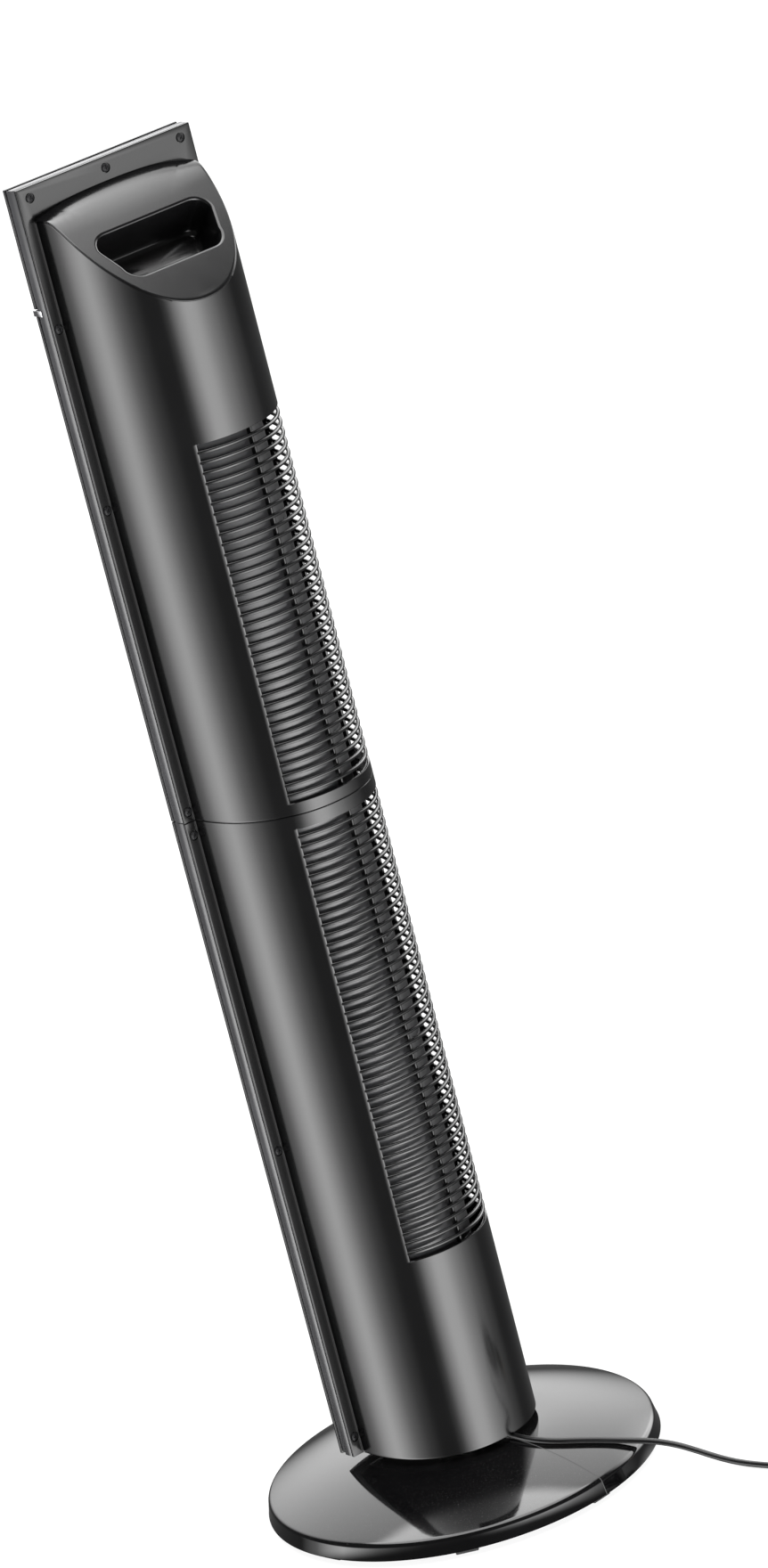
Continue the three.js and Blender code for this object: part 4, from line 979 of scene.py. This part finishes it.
def makeOutletGrille(name, node, holeLow, holeHigh):
    setting = outletSetting
    low, high = boxOf(node)
    front, half = low[1], setting["half"]
    fasciaBack, bladeBack = front + setting["plate"], front + setting["barDeep"]
    plate = bevelled(blockOf(name, low, (high[0], fasciaBack, high[2])), 0.8, 3)
    hole = blockOf("hole", (-half, front - 2, holeLow), (half, fasciaBack + 2, holeHigh))
    plate = carved(plate, bevelled(hole, 1.5, 3))
    step = 2 * half / (setting["bars"] + 1)
    thick = setting["barThick"] / 2
    blade = [(-thick * 0.5, front + 0.2), (thick * 0.5, front + 0.2), (thick, front + 1.4),
             (thick * 0.8, bladeBack - 0.6), (0, bladeBack), (-thick * 0.8, bladeBack - 0.6),
             (-thick, front + 1.4)]
    first = prism("bar", [(x - half + step, y) for x, y in blade], 2, holeLow - 0.5, holeHigh + 0.5)
    bars = repeated(first, rowTree, materials["fascia_black"], Count=setting["bars"], Step=(step * mm, 0, 0))
    bars.name = name + "Bars"
    crossHigh, count = setting["crossHigh"], setting["crossBars"]
    rise = (holeHigh - holeLow - crossHigh) / (count - 1)
    cross = blockOf("cross", (-half - 0.5, front + 1, holeLow), (half + 0.5, front + 5, holeLow + crossHigh))
    crosses = repeated(bevelled(cross, 0.5, 2), rowTree, materials["fascia_black"], Count=count,
                       Step=(0, 0, rise * mm))
    crosses.name = name + "CrossBars"
    finished(plate, node)
    for part in (bars, crosses):
        finished(part, material=materials["fascia_black"], body="tower")


makeOutletGrille("outletGrilleLower", "outlet_grille_lower", outletSetting["foot"],
                 seamMiddle - outletSetting["seam"])
makeOutletGrille("outletGrilleUpper", "outlet_grille_upper", seamMiddle + outletSetting["seam"],
                 towerTop - outletSetting["drop"])


trimSetting = {"gap": 0.3, "depth": 3.2, "edge": 0.35}


def makeTrimStrip(node):
    # a bright strip whose two ends turn back along the frame's sides
    low, high = boxOf(node)
    thick = high[0] - edgeX - trimSetting["gap"]
    front = low[1] + trimSetting["depth"]
    plan = [(low[0], low[1]), (high[0], low[1]), (high[0], high[1]), (high[0] - thick, high[1]),
            (high[0] - thick, front), (low[0] + thick, front), (low[0] + thick, high[1]), (low[0], high[1])]
    strip = bevelled(prism("trimStrip", plan, 2, low[2], high[2]), trimSetting["edge"], 3, 50)
    return finished(strip, node)


makeTrimStrip("trim_strip")
finished(bevelled(blockOf("displayWindow", *boxOf("display_window")), 0.5, 3), "display_window")

controlSetting = {"hole": 6.3, "displayDrop": 36, "displayHalf": (26, 9)}
buttonNames = ("power", "speed", "swing", "timer")


def buttonPlace(name):
    low, high = boxOf("button_" + name)
    return (low[0] + high[0]) / 2, (low[2] + high[2]) / 2, low[1], high[1]


def makeControlPanel(setting):
    low, high = boxOf("control_panel")
    panel = bevelled(blockOf("controlPanel", low, high), 0.8, 3)
    wide, tall = setting["displayHalf"]
    middle = towerTop - setting["displayDrop"]
    opening = blockOf("opening", (-wide, low[1] - 2, middle - tall), (wide, high[1] + 2, middle + tall))
    panel = carved(panel, bevelled(opening, 1.0, 3))
    for name in buttonNames:
        x, z, _, _ = buttonPlace(name)
        outline = [(x + a, z + b) for a, b in circle(setting["hole"], 48)]
        panel = carved(panel, prism("buttonHole", outline, 1, low[1] - 2, high[1] + 2))
    return finished(panel, "control_panel")


makeControlPanel(controlSetting)


def makeButton(name):
    # a dished cap with a raised ring, on a collar that keeps it behind the panel
    x, z, front, back = buttonPlace(name)
    profile = [(nearAxis, front + 0.75), (2.2, front + 0.6), (3.9, front + 0.3), (4.4, front), (5.2, front),
               (5.75, front + 0.2), (6.0, front + 0.7), (6.0, back - 1.25), (7.6, back - 1.2), (7.6, back),
               (nearAxis, back)]
    rings = [[(x + a, y, z + b) for a, b in circle(radius, 48)] for radius, y in profile]
    return finished(ringStack("button" + name.capitalize(), rings), "button_" + name, smooth=30)


for buttonName in buttonNames:
    makeButton(buttonName)
print("front made")


impellerLow, impellerHigh = boxOf("impeller")
impellerX = (impellerLow[0] + impellerHigh[0]) / 2
impellerY = (impellerLow[1] + impellerHigh[1]) / 2
impellerRadius = (impellerHigh[0] - impellerLow[0]) / 2
ductSetting = {"clearance": 4, "wall": 2, "start": 95, "innerGap": 0.3, "reach": 8}


def wallOutline(line, thickness):
    # a line thickened to both sides
    left, right = [], []
    for k, (x, y) in enumerate(line):
        beforeX, beforeY = line[max(k - 1, 0)]
        afterX, afterY = line[min(k + 1, len(line) - 1)]
        length = math.hypot(afterX - beforeX, afterY - beforeY)
        a, b = -(afterY - beforeY) / length * thickness / 2, (afterX - beforeX) / length * thickness / 2
        left.append((x + a, y + b))
        right.insert(0, (x - a, y - b))
    return left + right


def makeDuctWalls(setting):
    radius = impellerRadius + setting["clearance"] + setting["wall"] / 2
    low, high = boxOf("duct_scroll")
    side = outletSetting["half"] + 1
    front = grilleLow[1] + outletSetting["barDeep"] + 1
    inside = shellHalf - shellSetting["wall"] - setting["innerGap"]
    end = inside - setting["wall"] - impellerX - setting["reach"]
    spiral = [polar(radius + (end - radius) * k / 36, setting["start"] * (1 - k / 36)) for k in range(37)]
    bend = [polar(radius, angle) for angle in range(188, 205, 4)]
    scroll = [(impellerX + x, impellerY + y) for x, y in spiral] + [(side, frameBack), (side, front)]
    tongue = [(impellerX + x, impellerY + y) for x, y in bend] + [(-side, frameBack), (-side, front)]
    for name, node, line in (("ductScroll", "duct_scroll", scroll),
                             ("ductTongue", "duct_tongue", tongue)):
        wall = bevelled(prism(name, wallOutline(line, setting["wall"]), 2, low[2], high[2]), 0.4, 2, 60)
        finished(wall, node)


makeDuctWalls(ductSetting)

impellerSetting = {"blades": 30, "bladeDeep": 11, "thick": 0.8, "discs": 9, "disc": 1.6, "lean": 8,
                   "curve": 26, "shaft": 4, "boss": 9, "endInset": 6}


def makeImpeller(setting):
    # curved blades between discs, as one moulding on its shaft boss
    radius, deep, disc = impellerRadius, setting["bladeDeep"], setting["disc"]
    low = impellerLow[2] + setting["endInset"]
    high = boxOf("duct_scroll")[1][2] - setting["endInset"]
    line = []
    for k in range(6):
        share = k / 5
        bend = setting["curve"] * share * share - setting["lean"]
        line.append(polar(radius - 0.3 - deep * (1 - share), bend))
    blade = prism("blade", wallOutline(line, setting["thick"]), 2, low + disc / 2, high - disc / 2)
    blades = repeated(blade, roundTree, materials["impeller_black"], Count=setting["blades"])
    hollow = radius - deep - 1
    ringProfile = [(hollow, low), (radius - 0.3, low), (radius, low + 0.4), (radius, low + disc - 0.4),
                   (radius - 0.3, low + disc), (hollow, low + disc)]
    band = turned("disc", ringProfile, 48, closed=True)
    step = (high - low - disc) / (setting["discs"] - 1)
    discs = repeated(band, rowTree, materials["impeller_black"], Count=setting["discs"],
                     Step=(0, 0, step * mm))
    inner = radius - 8
    ends = [turned("end", [(nearAxis, z), (inner, z), (inner, z + disc), (nearAxis, z + disc)], 40)
            for z in (low, high - disc)]
    foot, boss = impellerLow[2], setting["boss"]
    bossProfile = [(nearAxis, foot), (boss - 1, foot), (boss, foot + 1), (boss, low + 1), (nearAxis, low + 1)]
    tip, shaft = impellerHigh[2], setting["shaft"]
    pinProfile = [(nearAxis, high - 1), (shaft, high - 1), (shaft, tip - 0.5), (shaft - 0.5, tip),
                  (nearAxis, tip)]
    whole = merged("fanImpeller", [blades, discs, *ends, turned("boss", bossProfile, 32),
                                   turned("pin", pinProfile, 24)])
    whole.data.transform(Matrix.Translation((impellerX * mm, impellerY * mm, 0)))
    return finished(whole, "impeller", smooth=35)


makeImpeller(impellerSetting)
print("air path made")


def makeHousingScrews(setting):
    # pan heads with a cross recess, sunk in the flange
    seat = flangeFace - 0.9
    head = setting["head"]
    profile = [(nearAxis, seat - 9), (1.3, seat - 9), (1.5, seat - 8.6), (1.5, seat), (head, seat),
               (head, seat + 0.5), (head * 0.93, seat + 0.95), (head * 0.72, seat + 1.35),
               (head * 0.4, seat + 1.55), (nearAxis, seat + 1.6)]
    screw = ringStack("screw", [[(a, y, b) for a, b in circle(radius, 28)] for radius, y in profile])
    for wide, tall in ((1.75, 0.33), (0.33, 1.75)):
        screw = carved(screw, blockOf("cross", (-wide, seat + 0.55, -tall), (wide, seat + 3, tall)))
    screw.data.shade_smooth()
    screw.data.set_sharp_from_angle(angle=math.radians(35))
    points = bpy.data.meshes.new("housingScrews")
    points.from_pydata([(x * mm, 0, z * mm) for x, z in screwPlaces()], [], [])
    screws = bpy.data.objects.new("housingScrews", points)
    bpy.context.scene.collection.objects.link(screws)
    screws = repeated(screws, placedTree, materials["screw_black"], Shape=screw, Seed=5)
    bpy.data.objects.remove(screw)
    names = [f"housing_screw_{k + 1}" for k in range(len(screwPlaces()))]
    return finished(screws, *names, smooth=35)


makeHousingScrews(screwSetting)

# the inner parts keep the frame's own shape
for node, part in frame["nodes"].items():
    if not part.hide_render:
        part.data.materials.clear()
        part.data.materials.append(materials[slotOf[node]])
frame["nodes"]["base_weight_plate"].visible_glossy = False
print("screws made, inner parts finished")


floorSetting = {"half": 6000, "level": -0.3, "glow": 0.93}


def makeFloor():
    # shines evenly and is left out of the fan's own light and reflections
    half, level = floorSetting["half"], floorSetting["level"]
    corners = [(-half, -half, level), (half, -half, level), (half, half, level), (-half, half, level)]
    floor = meshObject("paleFloor", corners, [(0, 1, 2, 3)])
    material = bpy.data.materials.new("pale_floor")
    material.use_nodes = True
    shader = material.node_tree.nodes["Principled BSDF"]
    for name, value in (("Base Color", (0.10, 0.10, 0.10, 1)), ("Roughness", 0.9),
                        ("Specular IOR Level", 0.0), ("Emission Color", (1, 1, 1, 1)),
                        ("Emission Strength", floorSetting["glow"])):
        shader.inputs[name].default_value = value
    floor.data.materials.append(material)
    floor.visible_glossy = False
    floor.visible_diffuse = False
    floor.visible_shadow = False


makeFloor()

# two upright soft strips: share of the full brightness by compass angle, counted from +X
stripSetting = {"brightness": 8.0, "above": 0.05, "topAngle": 4.0, "fullAngle": -5.0, "dark": 0.004,
                "left": ((-57, 0.004), (-44, 0.16), (-34, 0.56), (-24, 0.86), (-14, 0.62), (-2, 0.28),
                         (12, 0.10), (28, 0.02)),
                "right": ((50, 0.016), (58, 0.10), (70, 0.55), (84, 1.0), (98, 0.96), (114, 0.56),
                          (130, 0.24), (146, 0.09), (166, 0.01))}
# round soft panels: direction (compass angle, height angle), where it is full and where it ends, brightness
panelAround = 0.03
panelSettings = {
    "frontPanel": {"angle": 238, "height": 41, "full": 14, "end": 47, "brightness": 3.2},
    "overheadPanel": {"angle": 170, "height": 89, "full": 30, "end": 35, "brightness": 5.6},
    "rearPanel": {"angle": 185, "height": 20, "full": 10, "end": 32, "brightness": 5.0},
}


def directionOf(angle, height):
    x, y = polar(math.cos(math.radians(height)), angle)
    return x, y, math.sin(math.radians(height))


def makeWorld():
    # a white room to the eye, soft strips and panels for the object
    world = bpy.data.worlds.new("studio")
    world.use_nodes = True
    tree = world.node_tree
    tree.nodes.clear()
    place = addNode(tree, "ShaderNodeTexCoord", (-1200, 0))
    split = addNode(tree, "ShaderNodeSeparateXYZ", (-1000, 0))
    compass = addNode(tree, "ShaderNodeMath", (-800, 100), operation="ARCTAN2")
    share = mapNode(tree, (-600, 100), (-math.pi, math.pi))
    strips = addNode(tree, "ShaderNodeValToRGB", (-400, 100))
    ends = [math.sin(math.radians(stripSetting[name])) for name in ("fullAngle", "topAngle")]
    levels = stripSetting["brightness"], stripSetting["above"]
    rise = mapNode(tree, (-600, -150), ends, levels, "SMOOTHSTEP")
    strength = addNode(tree, "ShaderNodeMath", (-100, 50), operation="MULTIPLY")
    wire(tree,
         (place, "Generated", split, 0), (split, "Y", compass, 0), (split, "X", compass, 1),
         (compass, 0, share, "Value"), (share, 0, strips, 0), (split, "Z", rise, "Value"),
         (strips, "Color", strength, 0), (rise, 0, strength, 1))
    ramp, dark = strips.color_ramp, stripSetting["dark"]
    for stop in ramp.elements:
        stop.color = (dark, dark, dark, 1)
    for angle, level in stripSetting["left"] + stripSetting["right"]:
        ramp.elements.new((angle + 180) / 360).color = (level, level, level, 1)
    total = strength
    for k, setting in enumerate(panelSettings.values()):
        row = -400 - 250 * k
        reach = [math.cos(math.radians(setting[name])) for name in ("end", "full")]
        toward = addNode(tree, "ShaderNodeVectorMath", (-800, row),
                         {1: directionOf(setting["angle"], setting["height"])}, operation="DOT_PRODUCT")
        glow = mapNode(tree, (-600, row), reach, (panelAround, setting["brightness"]), "SMOOTHSTEP")
        adding = addNode(tree, "ShaderNodeMath", (100 + 100 * k, -100), operation="ADD")
        wire(tree, (place, "Generated", toward, 0), (toward, "Value", glow, "Value"), (total, 0, adding, 0),
             (glow, 0, adding, 1))
        total = adding
    path = addNode(tree, "ShaderNodeLightPath", (200, 400))
    room = addNode(tree, "ShaderNodeBackground", (400, -50), {"Color": (1, 1, 1, 1)})
    white = addNode(tree, "ShaderNodeBackground", (400, 150), {"Color": (1, 1, 1, 1)})
    mix = addNode(tree, "ShaderNodeMixShader", (600, 50))
    leave = addNode(tree, "ShaderNodeOutputWorld", (800, 50))
    wire(tree, (total, 0, room, "Strength"), (path, "Is Camera Ray", mix, 0), (room, 0, mix, 1),
         (white, 0, mix, 2), (mix, 0, leave, 0))
    bpy.context.scene.world = world


makeWorld()
bpy.context.scene.view_settings.view_transform = "Standard"
print("floor and light set")
